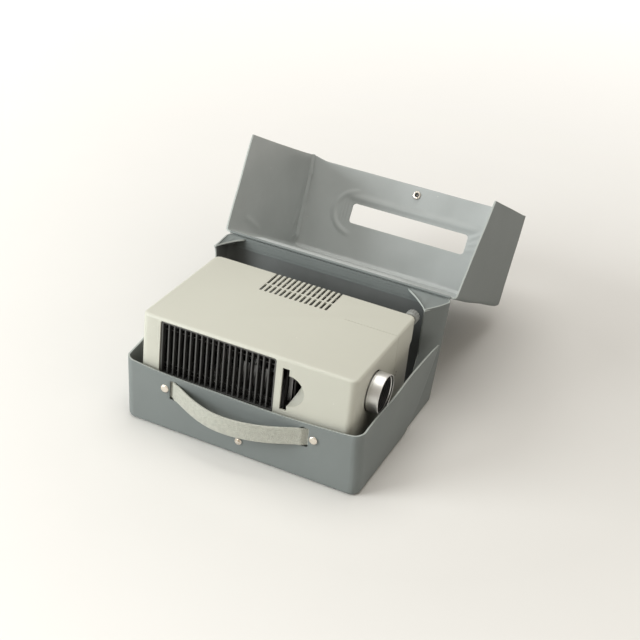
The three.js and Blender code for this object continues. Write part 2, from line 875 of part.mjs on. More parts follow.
function housing() {
  const past = body_right - body_left + overrun;
  const side_profile = flat([
    [body_front + tray_step, body_bottom],
    [rear_face, body_bottom],
    [rear_face, lip_foot],
    [body_back, lip_low],
    [body_back, body_top],
    [body_front, body_top],
    [body_front, step_top],
    [body_front + tray_step, step_top - tray_step],
  ]);
  const w = housing_wall;
  const mitre = w * (Math.SQRT2 - 1);
  const hollow_profile = flat([
    [body_front + tray_step + w, body_bottom - overrun],
    [rear_face + overrun, body_bottom - overrun],
    [rear_face + overrun, lip_foot - w],
    [rear_face - w, lip_foot - w],
    [rear_face - w, lip_foot + w],
    [body_back - w, lip_low + w],
    [body_back - w, body_top - w],
    [body_front + w, body_top - w],
    [body_front + w, step_top + mitre],
    [body_front + tray_step + w, step_top - tray_step + mitre],
  ]);
  const outer = common(roundedBox(0), prism("X", side_profile, body_left - overrun, body_left + past));
  const hollow = prism("X", hollow_profile, body_left + w, body_right - w);
  const rounded_hollow = common(
    hollow,
    prism(
      "Z",
      roundRect(
        body_left + w,
        body_right - w,
        body_front + w,
        body_back + overrun,
        housing_corner - w,
      ),
      body_bottom - 2 * overrun,
      body_top,
      2,
    ),
  );
  const vents = [];
  const vent_y0 = body_back - vent_start;
  const vent_y1 = vent_y0 + vent_front_length;
  for (let i = 0; i < vent_count; i++) {
    const x = body_left + vent_left + vent_width / 2 + i * vent_pitch;
    const front = roundSlot(x, vent_y0, vent_y1, vent_width);
    const rear = roundSlot(x, vent_y1 + vent_rib, body_back + vent_width, vent_width);
    vents.push(prism("Z", front, body_top - 2 * w, body_top + overrun));
    vents.push(prism("Z", rear, body_top - vent_drop, body_top + overrun));
  }
  const grille_hole = prism(
    "Y",
    roundRect(grille_x0, grille_x1, grille_z0, grille_z1, grille_corner),
    body_front - overrun,
    body_front + w + overrun,
    3,
  );
  const slide_slot = block(slot_x0, slot_x1, body_front - overrun, body_front + 2 * w, slot_z0, slot_z1);
  const lens_hole = rod(
    "X",
    ring_radius + ring_gap,
    body_right - 2 * w,
    body_right + overrun,
    lens_y,
    lens_z,
    32,
  );
  const knob_hole = rod("Y", bush_radius + seat, body_back - 2 * w, body_back + overrun, knob_x, knob_z, 14);
  const groove_y = body_back - seam_back;
  const groove = [
    block(
      body_right - seam_right,
      body_right + overrun,
      groove_y,
      groove_y + seam_width,
      body_top - seam_depth,
      body_top + overrun,
    ),
    block(
      body_right - seam_depth,
      body_right + overrun,
      groove_y,
      groove_y + seam_width,
      body_bottom,
      body_top + overrun,
    ),
  ];
  const shell = cut(
    outer,
    rounded_hollow,
    grille_hole,
    slide_slot,
    fingerCut(),
    lens_hole,
    knob_hole,
    ...groove,
    ...vents,
  );
  return join(shell, fingerScoop());
}
add("housing", "housing", housing());

// Front grille: border, upright fins and the crossbars behind them, one moulding
function grille() {
  const gap = seat;
  const [x0, x1, z0, z1] = [grille_x0 + gap, grille_x1 - gap, grille_z0 + gap, grille_z1 - gap];
  const y0 = body_front + grille_recess;
  const border = roundRect(x0, x1, z0, z1, grille_corner - gap);
  const inner = [x0 + grille_border, x1 - grille_border, z0 + grille_border, z1 - grille_border];
  const [ix0, ix1, iz0, iz1] = inner;
  const hole = new THREE.Path(roundRect(...inner, grille_corner / 2).getPoints(1).reverse());
  border.holes.push(hole);
  const pieces = [prism("Y", border, y0, y0 + grille_depth)];
  const fins = Math.round((ix1 - ix0) / fin_pitch);
  const into = grille_border / 2;
  for (let i = 1; i < fins; i++) {
    const x = lerp(ix0, ix1, i / fins);
    const half = fin_thickness / 2;
    const section = flat([
      [x - half, y0 + half],
      [x + half, y0 + half],
      [x + half / 2, y0 + grille_depth - half],
      [x - half / 2, y0 + grille_depth - half],
    ]);
    pieces.push(prism("Z", section, iz0 - into, iz1 + into));
  }
  for (const share of bar_height_shares) {
    const z0_bar = lerp(iz0, iz1, share) - bar_thickness / 2;
    const y1 = y0 + grille_depth - fin_thickness / 4;
    const y_bar = y0 + grille_depth - bar_depth;
    pieces.push(block(ix0 - into, ix1 + into, y_bar, y1, z0_bar, z0_bar + bar_thickness));
  }
  return join(...pieces);
}
add("grille", "black", grille());

// Base pan, rear panel, tray guide
const inside_left = body_left + housing_wall + seat;
const inside_right = body_right - housing_wall - seat;
const inside_front = body_front + tray_step + housing_wall + seat;
const panel_back = rear_face;
const panel_front = panel_back - rear_panel_thickness;
const foot_places = [
  ["foot_front_left", body_left + foot_inset, body_front + tray_step + foot_inset],
  ["foot_rear_left", body_left + foot_inset, rear_face - foot_inset],
  ["foot_rear_right", body_right - foot_inset, rear_face - foot_inset],
];
const level_x = body_right - foot_inset;
const level_y = body_front + tray_step + foot_inset;
const pan_top = body_bottom + pan_thickness;
const chassis_top = pan_top;

add(
  "base_pan",
  "black",
  cut(
    prism(
      "Z",
      roundRect(inside_left, inside_right, inside_front, panel_front - seat, housing_corner - housing_wall),
      body_bottom,
      pan_top,
    ),
    ...foot_places.map(([, x, y]) => rod("Z", foot_screw_radius + seat, 0, body_top / 2, x, y, 12)),
    rod("Z", foot_screw_radius + seat, 0, body_top / 2, level_x, level_y, 12),
  ),
);

const inlet_x0 = body_left + inlet_left;
const inlet_x1 = inlet_x0 + inlet_width;
const inlet_z0 = inlet_level;
const inlet_z1 = inlet_z0 + inlet_height;
const switch_x0 = slot_x0 - switch_to_slot;
const switch_x1 = switch_x0 + switch_width;
const switch_z0 = inlet_level - (switch_height - inlet_height) / 2;
const switch_z1 = switch_z0 + switch_height;

add(
  "rear_panel",
  "black",
  cut(
    prism(
      "Y",
      roundRect(inside_left, inside_right, body_bottom, lip_foot - housing_wall - seat, rear_panel_thickness),
      panel_front,
      panel_back,
      3,
    ),
    block(
      inlet_x0 - seat,
      inlet_x1 + seat,
      panel_front - overrun,
      panel_back + overrun,
      inlet_z0 - seat,
      inlet_z1 + seat,
    ),
    block(
      switch_x0 - seat,
      switch_x1 + seat,
      panel_front - overrun,
      panel_back + overrun,
      switch_z0 - seat,
      switch_z1 + seat,
    ),
  ),
);

function trayGuide() {
  const y1 = body_front + tray_step - seat;
  const y0 = y1 - tray_guide_depth;
  const z1 = step_top - tray_step - seat;
  const z0 = z1 - tray_guide_height;
  const mid = (z0 + z1) / 2;
  const section = flat([
    [y0, z0],
    [y1, z0],
    [y1, z1],
    [y0, z1],
    [y0, mid + tray_groove],
    [y1 - tray_guide_depth / 2, mid + tray_groove / 2],
    [y1 - tray_guide_depth / 2, mid - tray_groove / 2],
    [y0, mid - tray_groove],
  ]);
  return prism("X", section, body_left + housing_corner, body_right - housing_corner);
}
add("tray_guide", "black", trayGuide());

// Feet: three fixed, and one on a screw
function foot(x, y) {
  const up = pan_top + pan_thickness;
  return turned(
    "Z",
    [
      [foot_bottom, 0],
      [foot_bottom, foot_radius * 0.85],
      [foot_bottom + foot_height / 4, foot_radius],
      [body_bottom - seat, foot_radius],
      [body_bottom - seat, foot_screw_radius],
      [pan_top + seat, foot_screw_radius],
      [pan_top + seat, foot_screw_radius + pan_thickness],
      [up, foot_screw_radius + pan_thickness],
      [up, 0],
    ],
    x,
    y,
    0,
    12,
  );
}
for (const [name, x, y] of foot_places) add(name, "rubber", foot(x, y));
add(
  "levelling_foot",
  "rubber",
  turned(
    "Z",
    [
      [foot_bottom, 0],
      [foot_bottom, foot_radius * 0.85],
      [foot_bottom + foot_height / 5, foot_radius],
      [body_bottom - seat - foot_travel, foot_radius],
      [body_bottom - seat - foot_travel, foot_screw_radius],
      [pan_top + 3 * foot_travel, foot_screw_radius],
      [pan_top + 3 * foot_travel, 0],
    ],
    level_x,
    level_y,
    0,
    12,
  ),
);

// Lens sleeve, gears and barrel
const sleeve_inner = barrel_radius + running_gap;
const sleeve_outer = sleeve_inner + sleeve_wall;
const focus_ratio = (gear_module * knob_gear_teeth) / 2;
const lens_travel = focus_ratio * focus_turn;
const ring_back = body_right + ring_gap;
const sleeve_front = ring_back - lens_travel - 2 * seat;
const sleeve_back = sleeve_front - sleeve_length;
const knob_gear_pitch = (gear_module * knob_gear_teeth) / 2;
const idler_pitch = (gear_module * idler_teeth) / 2;
const rack_pitch_z = lens_z + barrel_radius + rack_base + dedendum_share * gear_module;
const idler_z = rack_pitch_z + idler_pitch + gear_spread;
const gear_distance = knob_gear_pitch + idler_pitch + gear_spread;
const gear_slope = Math.asin((knob_z - idler_z) / gear_distance);
const idler_x = knob_x - gear_distance * Math.cos(gear_slope);
const gear_y0 = lens_y - gear_width / 2;
const gear_y1 = lens_y + gear_width / 2;

// One toothed outline: involute flanks from the root circle to the tip circle.
function gearShape(teeth, phase, x, z, bore) {
  const pitch = (gear_module * teeth) / 2;
  const tip = pitch + addendum_share * gear_module;
  const root_radius = pitch - dedendum_share * gear_module;
  const base = pitch * Math.cos(pressure_angle);
  const involute = (r) => {
    const a = Math.acos(Math.min(1, base / r));
    return Math.tan(a) - a;
  };
  const half = Math.PI / (2 * teeth) - gear_backlash / 2 / (2 * pitch);
  const s = new THREE.Shape();
  const points = [];
  for (let i = 0; i < teeth; i++) {
    const middle = phase + (i * 2 * Math.PI) / teeth;
    const flank = shares(2).map((f) => Math.max(root_radius, base) * (1 - f) + tip * f);
    const away = (r) => half + involute(pitch) - involute(r);
    const rising = [root_radius, ...flank].map((r) => [r, -away(Math.max(r, base))]);
    for (const [r, a] of rising) points.push([r, middle + a]);
    for (const [r, a] of rising.reverse()) points.push([r, middle - a]);
  }
  points.forEach(([r, a], i) => {
    const p = [x + r * Math.cos(a), z + r * Math.sin(a)];
    if (i) s.lineTo(...p);
    else s.moveTo(...p);
  });
  s.closePath();
  if (bore) s.holes.push(new THREE.Path(disc(bore, x, z).getPoints(6).reverse()));
  return s;
}

const idler_phase = -Math.PI / 2;
const idler_pitch_angle = (2 * Math.PI) / idler_teeth;
const off_line = (idler_phase - gear_slope) % idler_pitch_angle;
const knob_gear_phase =
  Math.PI + gear_slope - (off_line * idler_pitch) / knob_gear_pitch + Math.PI / knob_gear_teeth;

function rack() {
  const pitch = Math.PI * gear_module;
  const half = pitch / 4 - gear_backlash / 4;
  const up = addendum_share * gear_module;
  const down = dedendum_share * gear_module;
  const lean = Math.tan(pressure_angle);
  const base = lens_z + barrel_radius - rack_base;
  const end = idler_x + rack_length - rack_lead;
  const start = idler_x - rack_lead;
  const points = [[end, base], [end, rack_pitch_z - down]];
  const count = Math.floor((end - idler_x) / pitch - 0.5);
  for (let i = count; i >= -1; i--) {
    const x = idler_x + (i + 0.5) * pitch;
    points.push(
      [x + half + down * lean, rack_pitch_z - down],
      [x + half - up * lean, rack_pitch_z + up],
      [x - half + up * lean, rack_pitch_z + up],
      [x - half - down * lean, rack_pitch_z - down],
    );
  }
  points.push([start, rack_pitch_z - down], [start, base]);
  return prism("Y", flat(points.reverse()), lens_y - rack_width / 2, lens_y + rack_width / 2);
}

const ring_front = body_right + ring_reach;
const barrel_back = ring_back - barrel_length;
const cone_back = ring_front - cone_depth;
const front_glass_bulge = front_glass_crown * (1 - (cone_throat / front_glass_radius) ** 2);
const front_glass_x = cone_back - cone_wall - front_glass_edge - front_glass_bulge - seat;
const rear_glass_x = barrel_back + rear_glass_edge;

function barrel() {
  const lip = cone_mouth + cone_wall + seat;
  const shoulder = cone_throat + cone_wall + seat;
  const body = turned(
    "X",
    [
      [barrel_back, rear_glass_radius - cone_wall],
      [barrel_back, barrel_radius],
      [ring_back, barrel_radius],
      [ring_back, ring_radius - seat],
      [ring_back + seat, ring_radius],
      [ring_front - seat, ring_radius],
      [ring_front, ring_radius - seat],
      [ring_front, lip],
      [cone_back, Math.max(shoulder + cone_wall, front_glass_radius + seat)],
      [front_glass_x - seat, front_glass_radius + seat],
      [front_glass_x - seat, front_glass_radius - cone_wall],
      [rear_glass_x + rear_glass_edge + seat, rear_glass_radius - cone_wall],
      [rear_glass_x + rear_glass_edge + seat, rear_glass_radius + seat],
      [rear_glass_x - 2 * seat, rear_glass_radius + seat],
      [rear_glass_x - 2 * seat, rear_glass_radius - cone_wall],
      [barrel_back, rear_glass_radius - cone_wall],
    ],
    0,
    lens_y,
    lens_z,
    24,
  );
  return join(body, rack());
}

function lensCone() {
  return turned(
    "X",
    [
      [ring_front, cone_mouth],
      [ring_front, cone_mouth + cone_wall],
      [cone_back + cone_wall, cone_throat + cone_wall],
      [cone_back, front_glass_radius],
      [cone_back - cone_wall, front_glass_radius],
      [cone_back - cone_wall, cone_throat],
      [ring_front, cone_mouth],
    ],
    0,
    lens_y,
    lens_z,
    24,
  );
}

// A glass with a rim and one or two domed faces, its middle line along X.
function glass(x, radius, edge, crown_back, crown_front, around = 20) {
  const dome = (crown, sign, from) =>
    (crown > seat ? shares(3) : shares(1)).map((f) => [from + sign * crown * (1 - f * f), radius * f]);
  const outline = [
    ...dome(crown_back, -1, x),
    ...dome(crown_front, 1, x + edge).reverse(),
  ];
  return turned("X", outline, 0, lens_y, lens_z, around);
}

const mount_x = (sleeve_back + sleeve_front) / 2;
function sleeve() {
  const ring = turned(
    "X",
    [
      [sleeve_back, sleeve_inner],
      [sleeve_back, sleeve_outer],
      [sleeve_front, sleeve_outer],
      [sleeve_front, sleeve_inner],
      [sleeve_back, sleeve_inner],
    ],
    0,
    lens_y,
    lens_z,
    24,
  );
  const web = prism(
    "X",
    flat([
      [lens_y - sleeve_outer, chassis_top + seat],
      [lens_y + sleeve_outer, chassis_top + seat],
      [lens_y + sleeve_outer * 0.6, lens_z - sleeve_outer * 0.6],
      [lens_y - sleeve_outer * 0.6, lens_z - sleeve_outer * 0.6],
    ]),
    mount_x - sleeve_web / 2,
    mount_x + sleeve_web / 2,
  );
  const shoe = block(
    mount_x - 2 * sleeve_web,
    mount_x + 2 * sleeve_web,
    lens_y - sleeve_outer,
    lens_y + sleeve_outer,
    chassis_top + seat,
    chassis_top + seat + bracket_thickness,
  );
  const bracket_y1 = gear_y0 - 2 * running_gap;
  const bracket_y0 = bracket_y1 - bracket_thickness;
  const bracket_z1 = body_top - housing_wall - seat;
  const low = lens_z + sleeve_inner;
  const back = idler_x - idler_pitch;
  const bracket = prism(
    "Y",
    flat([
      [back - sleeve_web, low],
      [sleeve_front, low],
      [sleeve_front, ring_radius + lens_z + 2 * seat],
      [inside_right - seat, ring_radius + lens_z + 2 * seat],
      [inside_right - seat, bracket_z1],
      [back, bracket_z1],
    ]),
    bracket_y0,
    bracket_y1,
  );
  const pin = rod("Y", idler_pin_radius, bracket_y0, gear_y1 + 2 * running_gap, idler_x, idler_z, 10);
  const shaft_hole = rod(
    "Y",
    shaft_radius + running_gap / 3,
    bracket_y0 - overrun,
    bracket_y1 + overrun,
    knob_x,
    knob_z,
    14,
  );
  const bore = rod("X", sleeve_inner, sleeve_back - overrun, sleeve_front + overrun, lens_y, lens_z, 24);
  const rack_slot = block(
    idler_x - idler_pitch - lens_travel - 2 * gear_module,
    sleeve_front + overrun,
    lens_y - rack_width / 2 - running_gap,
    lens_y + rack_width / 2 + running_gap,
    lens_z,
    lens_z + sleeve_outer + overrun,
  );
  const room_radius = idler_pitch + 2 * gear_module;
  const gear_room = rod("Y", room_radius, gear_y0 - seat, gear_y1 + overrun, idler_x, idler_z, 20);
  return join(cut(join(ring, web, shoe, bracket), bore, rack_slot, shaft_hole, gear_room), pin);
}
add("lens_sleeve", "aluminium", sleeve());

const lens_moving = new THREE.Group();
root.add(lens_moving);
add("lens_barrel", "aluminium", barrel(), lens_moving);
add("lens_cone", "black", lensCone(), lens_moving);
add(
  "front_lens_element",
  "glass",
  glass(front_glass_x, front_glass_radius, front_glass_edge, 0, front_glass_crown),
  lens_moving,
);
add(
  "rear_lens_element",
  "glass",
  glass(rear_glass_x, rear_glass_radius, rear_glass_edge, rear_glass_crown, 0),
  lens_moving,
);

const idler_bore = idler_pin_radius + running_gap / 3;
add(
  "idler_gear",
  "steel",
  prism("Y", gearShape(idler_teeth, idler_phase, idler_x, idler_z, idler_bore), gear_y0, gear_y1),
);

const shaft_front = gear_y0 - 2 * running_gap - bracket_thickness - 2 * running_gap;
const knob_front = body_back + bush_flange - bush_radius + seat;
const knob_back = body_back + knob_length;
add(
  "focus_shaft",
  "steel",
  join(
    rod("Y", shaft_radius, shaft_front, knob_front - seat, knob_x, knob_z, 14),
    prism("Y", gearShape(knob_gear_teeth, knob_gear_phase, knob_x, knob_z, 0), gear_y0, gear_y1),
    rod("Y", shaft_radius / 2, shaft_front, knob_back - knob_length / 3, knob_x, knob_z, 10),
  ),
);

function focusKnob() {
  const edge = knob_flute_radius;
  const body = turned(
    "Y",
    [
      [knob_front, 0],
      [knob_front, knob_radius - edge],
      [knob_front + edge, knob_radius],
      [knob_back - edge, knob_radius],
      [knob_back, knob_radius - edge],
      [knob_back, 0],
    ],
    knob_x,
    0,
    knob_z,
    36,
  );
  const flutes = Array.from({ length: knob_flutes }, (_, i) => {
    const a = (i * 2 * Math.PI) / knob_flutes;
    const r = knob_radius + knob_flute_radius * 0.45;
    const x = knob_x + r * Math.cos(a);
    const z = knob_z + r * Math.sin(a);
    return rod("Y", knob_flute_radius, knob_front + 2 * edge, knob_back + edge, x, z, 4);
  });
  const bore = rod(
    "Y",
    shaft_radius / 2 + seat,
    knob_front - overrun,
    knob_back - knob_length / 3 + seat,
    knob_x,
    knob_z,
    10,
  );
  return cut(body, ...flutes, bore);
}
add("focus_knob", "knob", focusKnob());

add(
  "shaft_bush",
  "steel",
  turned(
    "Y",
    [
      [body_back - housing_wall - housing_wall, shaft_radius + running_gap / 3],
      [body_back - housing_wall - housing_wall, bush_radius],
      [body_back + seat, bush_radius],
      [body_back + seat, bush_flange],
      [body_back + bush_flange - bush_radius, bush_flange],
      [body_back + bush_flange - bush_radius, shaft_radius + running_gap / 3],
      [body_back - housing_wall - housing_wall, shaft_radius + running_gap / 3],
    ],
    knob_x,
    0,
    knob_z,
    20,
  ),
);

// Slide gate and the carriage that runs in it
const gate_x0 = slot_x0 - gate_wall;
const gate_x1 = slot_x1 + gate_wall;
const gate_y0 = body_front + gate_front;
const gate_y1 = gate_y0 + gate_length;
const gate_z0 = lens_z - gate_height / 2;
const gate_z1 = lens_z + gate_height / 2;

function slideGate() {
  const frame = block(gate_x0, gate_x1, gate_y0, gate_y1, gate_z0, gate_z1);
  const channel = block(
    slot_x0,
    slot_x1,
    gate_y0 - overrun,
    gate_y1 - gate_wall,
    slot_z0 - seat,
    slot_z1 + seat,
  );
  const window_r = aperture / 8;
  const window = prism(
    "X",
    roundRect(
      lens_y - aperture / 2,
      lens_y + aperture / 2,
      lens_z - aperture / 2,
      lens_z + aperture / 2,
      window_r,
    ),
    gate_x0 - overrun,
    gate_x1 + overrun,
    2,
  );
  const leg = block(gate_x0, gate_x0 + gate_wall, gate_y0, gate_y1, chassis_top + seat, gate_z0 + gate_wall);
  return cut(join(frame, leg), channel, window);
}
add("slide_gate", "steel", slideGate());

function slideCarriage() {
  const middle = (slot_x0 + slot_x1) / 2;
  const half = carriage_thickness / 2;
  const y0 = gate_y0;
  const y1 = y0 + carriage_length;
  const outer = roundRect(y0, y1, slot_z0 + 2 * seat, slot_z1 - 2 * seat, carriage_border / 2);
  const b = carriage_border;
  const inner = roundRect(y0 + b, y1 - b, slot_z0 + b, slot_z1 - b, b / 2);
  outer.holes.push(new THREE.Path(inner.getPoints(2).reverse()));
  return prism("X", outer, middle - half, middle + half, 2);
}
add("slide_carriage", "steel", slideCarriage());

// Lamp house: bench, socket, lamp, mirror, condenser
const lamp_x = slot_x0 - lamp_to_slot;
const bench_x0 = lamp_x - bench_tail;
const bench_x1 = gate_x0 - seat;
const bench_y0 = lens_y - cell_width / 2;
const bench_y1 = lens_y + cell_width / 2;
const bench_top = bench_height;

function bench() {
  const top = block(bench_x0, bench_x1, bench_y0, bench_y1, bench_top - bench_thickness, bench_top);
  const legs = [bench_x0, bench_x1 - bench_post].flatMap((x) =>
    [bench_y0, bench_y1 - bench_post].map((y) =>
      block(x, x + bench_post, y, y + bench_post, chassis_top + seat, bench_top),
    ),
  );
  return join(top, ...legs);
}
add("optical_bench", "steel", bench());

const socket_top = bench_top + seat + socket_height;
add(
  "lamp_socket",
  "black",
  cut(
    block(
      lamp_x - socket_width / 2,
      lamp_x + socket_width / 2,
      lens_y - socket_depth / 2,
      lens_y + socket_depth / 2,
      bench_top + seat,
      socket_top,
    ),
    rod("Z", lamp_radius + seat, socket_top - socket_height / 3, socket_top + overrun, lamp_x, lens_y, 12),
  ),
);
const lamp_foot = socket_top - socket_height / 3 + seat;
add(
  "lamp",
  "glass",
  turned(
    "Z",
    [
      [lamp_foot, 0],
      [lamp_foot, lamp_radius],
      ...shares(3).map((f) => {
        const a = (f * Math.PI) / 2;
        return [lamp_foot + lamp_height - lamp_radius * (1 - Math.sin(a)), lamp_radius * Math.cos(a)];
      }),
    ],
    lamp_x,
    lens_y,
    0,
    14,
  ),
);

function mirror() {
  const x = lamp_x - mirror_back;
  const bowl = shares(4).map((f) => [mirror_depth * f * f, mirror_radius * f]);
  const outline = [
    ...bowl.map(([a, r]) => [x + mirror_wall + a, r]),
    ...bowl.reverse().map(([a, r]) => [x + a, r]),
  ];
  const dish = turned("X", outline, 0, lens_y, lens_z, 18);
  const stem = block(
    x,
    x + mirror_wall,
    lens_y - mirror_radius / 4,
    lens_y + mirror_radius / 4,
    bench_top + seat,
    lens_z,
  );
  const shoe = block(
    x - 3 * mirror_wall,
    x + mirror_wall,
    lens_y - mirror_radius / 4,
    lens_y + mirror_radius / 4,
    bench_top + seat,
    bench_top + seat + mirror_wall,
  );
  return join(dish, stem, shoe);
}
add("reflector", "aluminium", mirror());

const rear_lens_x = lamp_x + condenser_rear_gap + condenser_crown;
const filter_x = rear_lens_x + condenser_edge + filter_gap;
const front_lens_x = filter_x + filter_thickness + condenser_front_gap + condenser_crown;

function condenserHolder() {
  const reach = condenser_radius + cell_wall;
  const lip = condenser_radius - condenser_lip;
  const slack = seat + condenser_crown * (1 - (lip / condenser_radius) ** 2);
  const cradle = (x, edge) => {
    const x0 = x - cell_wall;
    const x1 = x + edge + cell_wall;
    const body = block(x0, x1, lens_y - reach, lens_y + reach, bench_top + seat, lens_z);
    const bore = rod("X", lip, x0 - overrun, x1 + overrun, lens_y, lens_z, 24);
    const groove = rod("X", condenser_radius + 2 * seat, x - slack, x + edge + slack, lens_y, lens_z, 24);
    return cut(body, bore, groove);
  };
  const tie = block(
    rear_lens_x - cell_wall,
    front_lens_x + condenser_edge + cell_wall,
    lens_y - cell_width / 2,
    lens_y + cell_width / 2,
    bench_top + seat,
    bench_top + seat + cell_wall,
  );
  return join(
    tie,
    cradle(rear_lens_x, condenser_edge),
    cradle(filter_x, filter_thickness),
    cradle(front_lens_x, condenser_edge),
  );
}
add("condenser_holder", "steel", condenserHolder());
add("condenser_rear_lens", "glass", glass(rear_lens_x, condenser_radius, condenser_edge, 0, condenser_crown));
const filter_end = filter_x + filter_thickness;
add("heat_filter", "glass", rod("X", condenser_radius, filter_x, filter_end, lens_y, lens_z, 20));
add(
  "condenser_front_lens",
  "glass",
  glass(front_lens_x, condenser_radius, condenser_edge, condenser_crown, 0),
);

// Fan
const fan_x = slot_x0 - fan_to_slot;
const fan_y0 = body_back - fan_back;
const fan_y1 = fan_y0 + fan_width;
const motor_y0 = fan_y1 + 2 * seat;
const motor_y1 = motor_y0 + motor_length;

function fanMotor() {
  const can = turned(
    "Y",
    [
      [motor_y0 - fan_width / 2, 0],
      [motor_y0 - fan_width / 2, motor_shaft_radius],
      [motor_y0, motor_shaft_radius],
      [motor_y0, motor_radius - motor_foot / 2],
      [motor_y0 + motor_foot / 2, motor_radius],
      [motor_y1 - motor_foot / 2, motor_radius],
      [motor_y1, motor_radius - motor_foot / 2],
      [motor_y1, 0],
    ],
    fan_x,
    0,
    fan_height,
    20,
  );
  const middle = (motor_y0 + motor_y1) / 2;
  const post = prism(
    "Y",
    flat([
      [fan_x - motor_radius / 2, chassis_top + seat],
      [fan_x + motor_radius / 2, chassis_top + seat],
      [fan_x + motor_radius / 2, fan_height - motor_radius / 2],
      [fan_x - motor_radius / 2, fan_height - motor_radius / 2],
    ]),
    middle - motor_foot / 2,
    middle + motor_foot / 2,
  );
  return join(can, post);
}
add("fan_motor", "steel", fanMotor());

function impeller() {
  const hub = rod("Y", fan_hub, fan_y0, fan_y1, fan_x, fan_height, 14);
  const blades = Array.from({ length: fan_blades }, (_, i) => {
    const length = fan_radius - fan_hub * 0.8;
    const chord = fan_width / Math.sin(blade_pitch) - blade_thickness;
    const g = new THREE.BoxGeometry(blade_thickness, chord * 0.8, length);
    g.rotateZ(Math.PI / 2 - blade_pitch);
    g.translate(0, 0, fan_hub * 0.8 + length / 2);
    g.rotateY((i * 2 * Math.PI) / fan_blades);
    return g.translate(fan_x, (fan_y0 + fan_y1) / 2, fan_height);
  });
  const bore = rod(
    "Y",
    motor_shaft_radius + running_gap,
    motor_y0 - fan_width / 2 - seat,
    fan_y1 + overrun,
    fan_x,
    fan_height,
    10,
  );
  const swept = common(
    join(hub, ...blades),
    rod("Y", fan_radius, fan_y0, fan_y1, fan_x, fan_height, 28),
  );
  return cut(swept, bore);
}
add("fan_impeller", "black", impeller());

// Transformer
const core_x1 = body_right - core_right;
const core_x0 = core_x1 - core_width;
const core_y1 = body_back - core_back;
const core_y0 = core_y1 - core_depth;
const core_z0 = chassis_top + seat;
const core_z1 = core_z0 + core_height;
const core_mid_x = (core_x0 + core_x1) / 2;
const core_mid_y = (core_y0 + core_y1) / 2;
const core_mid_z = (core_z0 + core_z1) / 2;

function transformerCore() {
  const window = (side) => {
    const inner = coil_width / 2 - core_window_width;
    const outer = coil_width / 2 + seat;
    const a = core_mid_x + side * inner;
    const b = core_mid_x + side * outer;
    return block(
      Math.min(a, b),
      Math.max(a, b),
      core_y0 - overrun,
      core_y1 + overrun,
      core_mid_z - coil_height / 2 - seat,
      core_mid_z + coil_height / 2 + seat,
    );
  };
  return cut(block(core_x0, core_x1, core_y0, core_y1, core_z0, core_z1), window(-1), window(1));
}
add("transformer_core", "steel", transformerCore());

function transformerCoil() {
  const outer = roundRect(
    core_mid_x - coil_width / 2,
    core_mid_x + coil_width / 2,
    core_mid_y - coil_depth / 2,
    core_mid_y + coil_depth / 2,
    core_window_width / 2,
  );
  const limb_half = coil_width / 2 - core_window_width + seat;
  const limb = roundRect(
    core_mid_x - limb_half,
    core_mid_x + limb_half,
    core_mid_y - core_depth / 2 - seat,
    core_mid_y + core_depth / 2 + seat,
    seat,
  );
  outer.holes.push(new THREE.Path(limb.getPoints(1).reverse()));
  return prism("Z", outer, core_mid_z - coil_height / 2, core_mid_z + coil_height / 2, 3);
}
add("transformer_coil", "copper", transformerCoil());

// Mains inlet and power switch on the rear panel
function mainsInlet() {
  const rim = roundRect(
    inlet_x0 - inlet_rim,
    inlet_x1 + inlet_rim,
    inlet_z0 - inlet_rim,
    inlet_z1 + inlet_rim,
    inlet_rim,
  );
  const flange = prism("Y", rim, panel_back + seat, panel_back + seat + inlet_rim / 2);
  const inlet_face = panel_back + inlet_rim / 2;
  const body = block(inlet_x0, inlet_x1, panel_back - inlet_depth, inlet_face, inlet_z0, inlet_z1);
  const wall = inlet_pin / 2;
  const well = block(
    inlet_x0 + wall,
    inlet_x1 - wall,
    panel_back - inlet_depth + wall,
    panel_back + inlet_rim,
    inlet_z0 + wall,
    inlet_z1 - wall,
  );
  const pins = [-1, 1].map((side) => {
    const x = (inlet_x0 + inlet_x1) / 2 + (side * inlet_width) / 4;
    const z = (inlet_z0 + inlet_z1) / 2;
    return rod("Y", inlet_pin / 2, panel_back - inlet_depth + wall / 2, panel_back - wall, x, z, 8);
  });
  return join(cut(join(flange, body), well), ...pins);
}
add("mains_inlet", "black", mainsInlet());

const rocker_x = (switch_x0 + switch_x1) / 2;
const rocker_z = (switch_z0 + switch_z1) / 2;
const rocker_pivot_y = panel_back - switch_rim;
const pivot_radius = switch_rim / 3;

function switchFrame() {
  const rim = roundRect(
    switch_x0 - switch_rim,
    switch_x1 + switch_rim,
    switch_z0 - switch_rim,
    switch_z1 + switch_rim,
    switch_rim,
  );
  const flange = prism("Y", rim, panel_back + seat, panel_back + seat + switch_rim / 2);
  const face = panel_back + switch_rim / 2;
  const body = block(switch_x0, switch_x1, panel_back - switch_depth, face, switch_z0, switch_z1);
  const wall = switch_rim / 2;
  const well = block(
    switch_x0 + wall,
    switch_x1 - wall,
    panel_back - switch_depth + wall,
    panel_back + switch_rim,
    switch_z0 + wall,
    switch_z1 - wall,
  );
  const inset = wall / 2;
  const pivot = rod("X", pivot_radius, switch_x0 + inset, switch_x1 - inset, rocker_pivot_y, rocker_z, 8);
  return join(cut(join(flange, body), well), pivot);
}
add("power_switch_frame", "black", switchFrame());

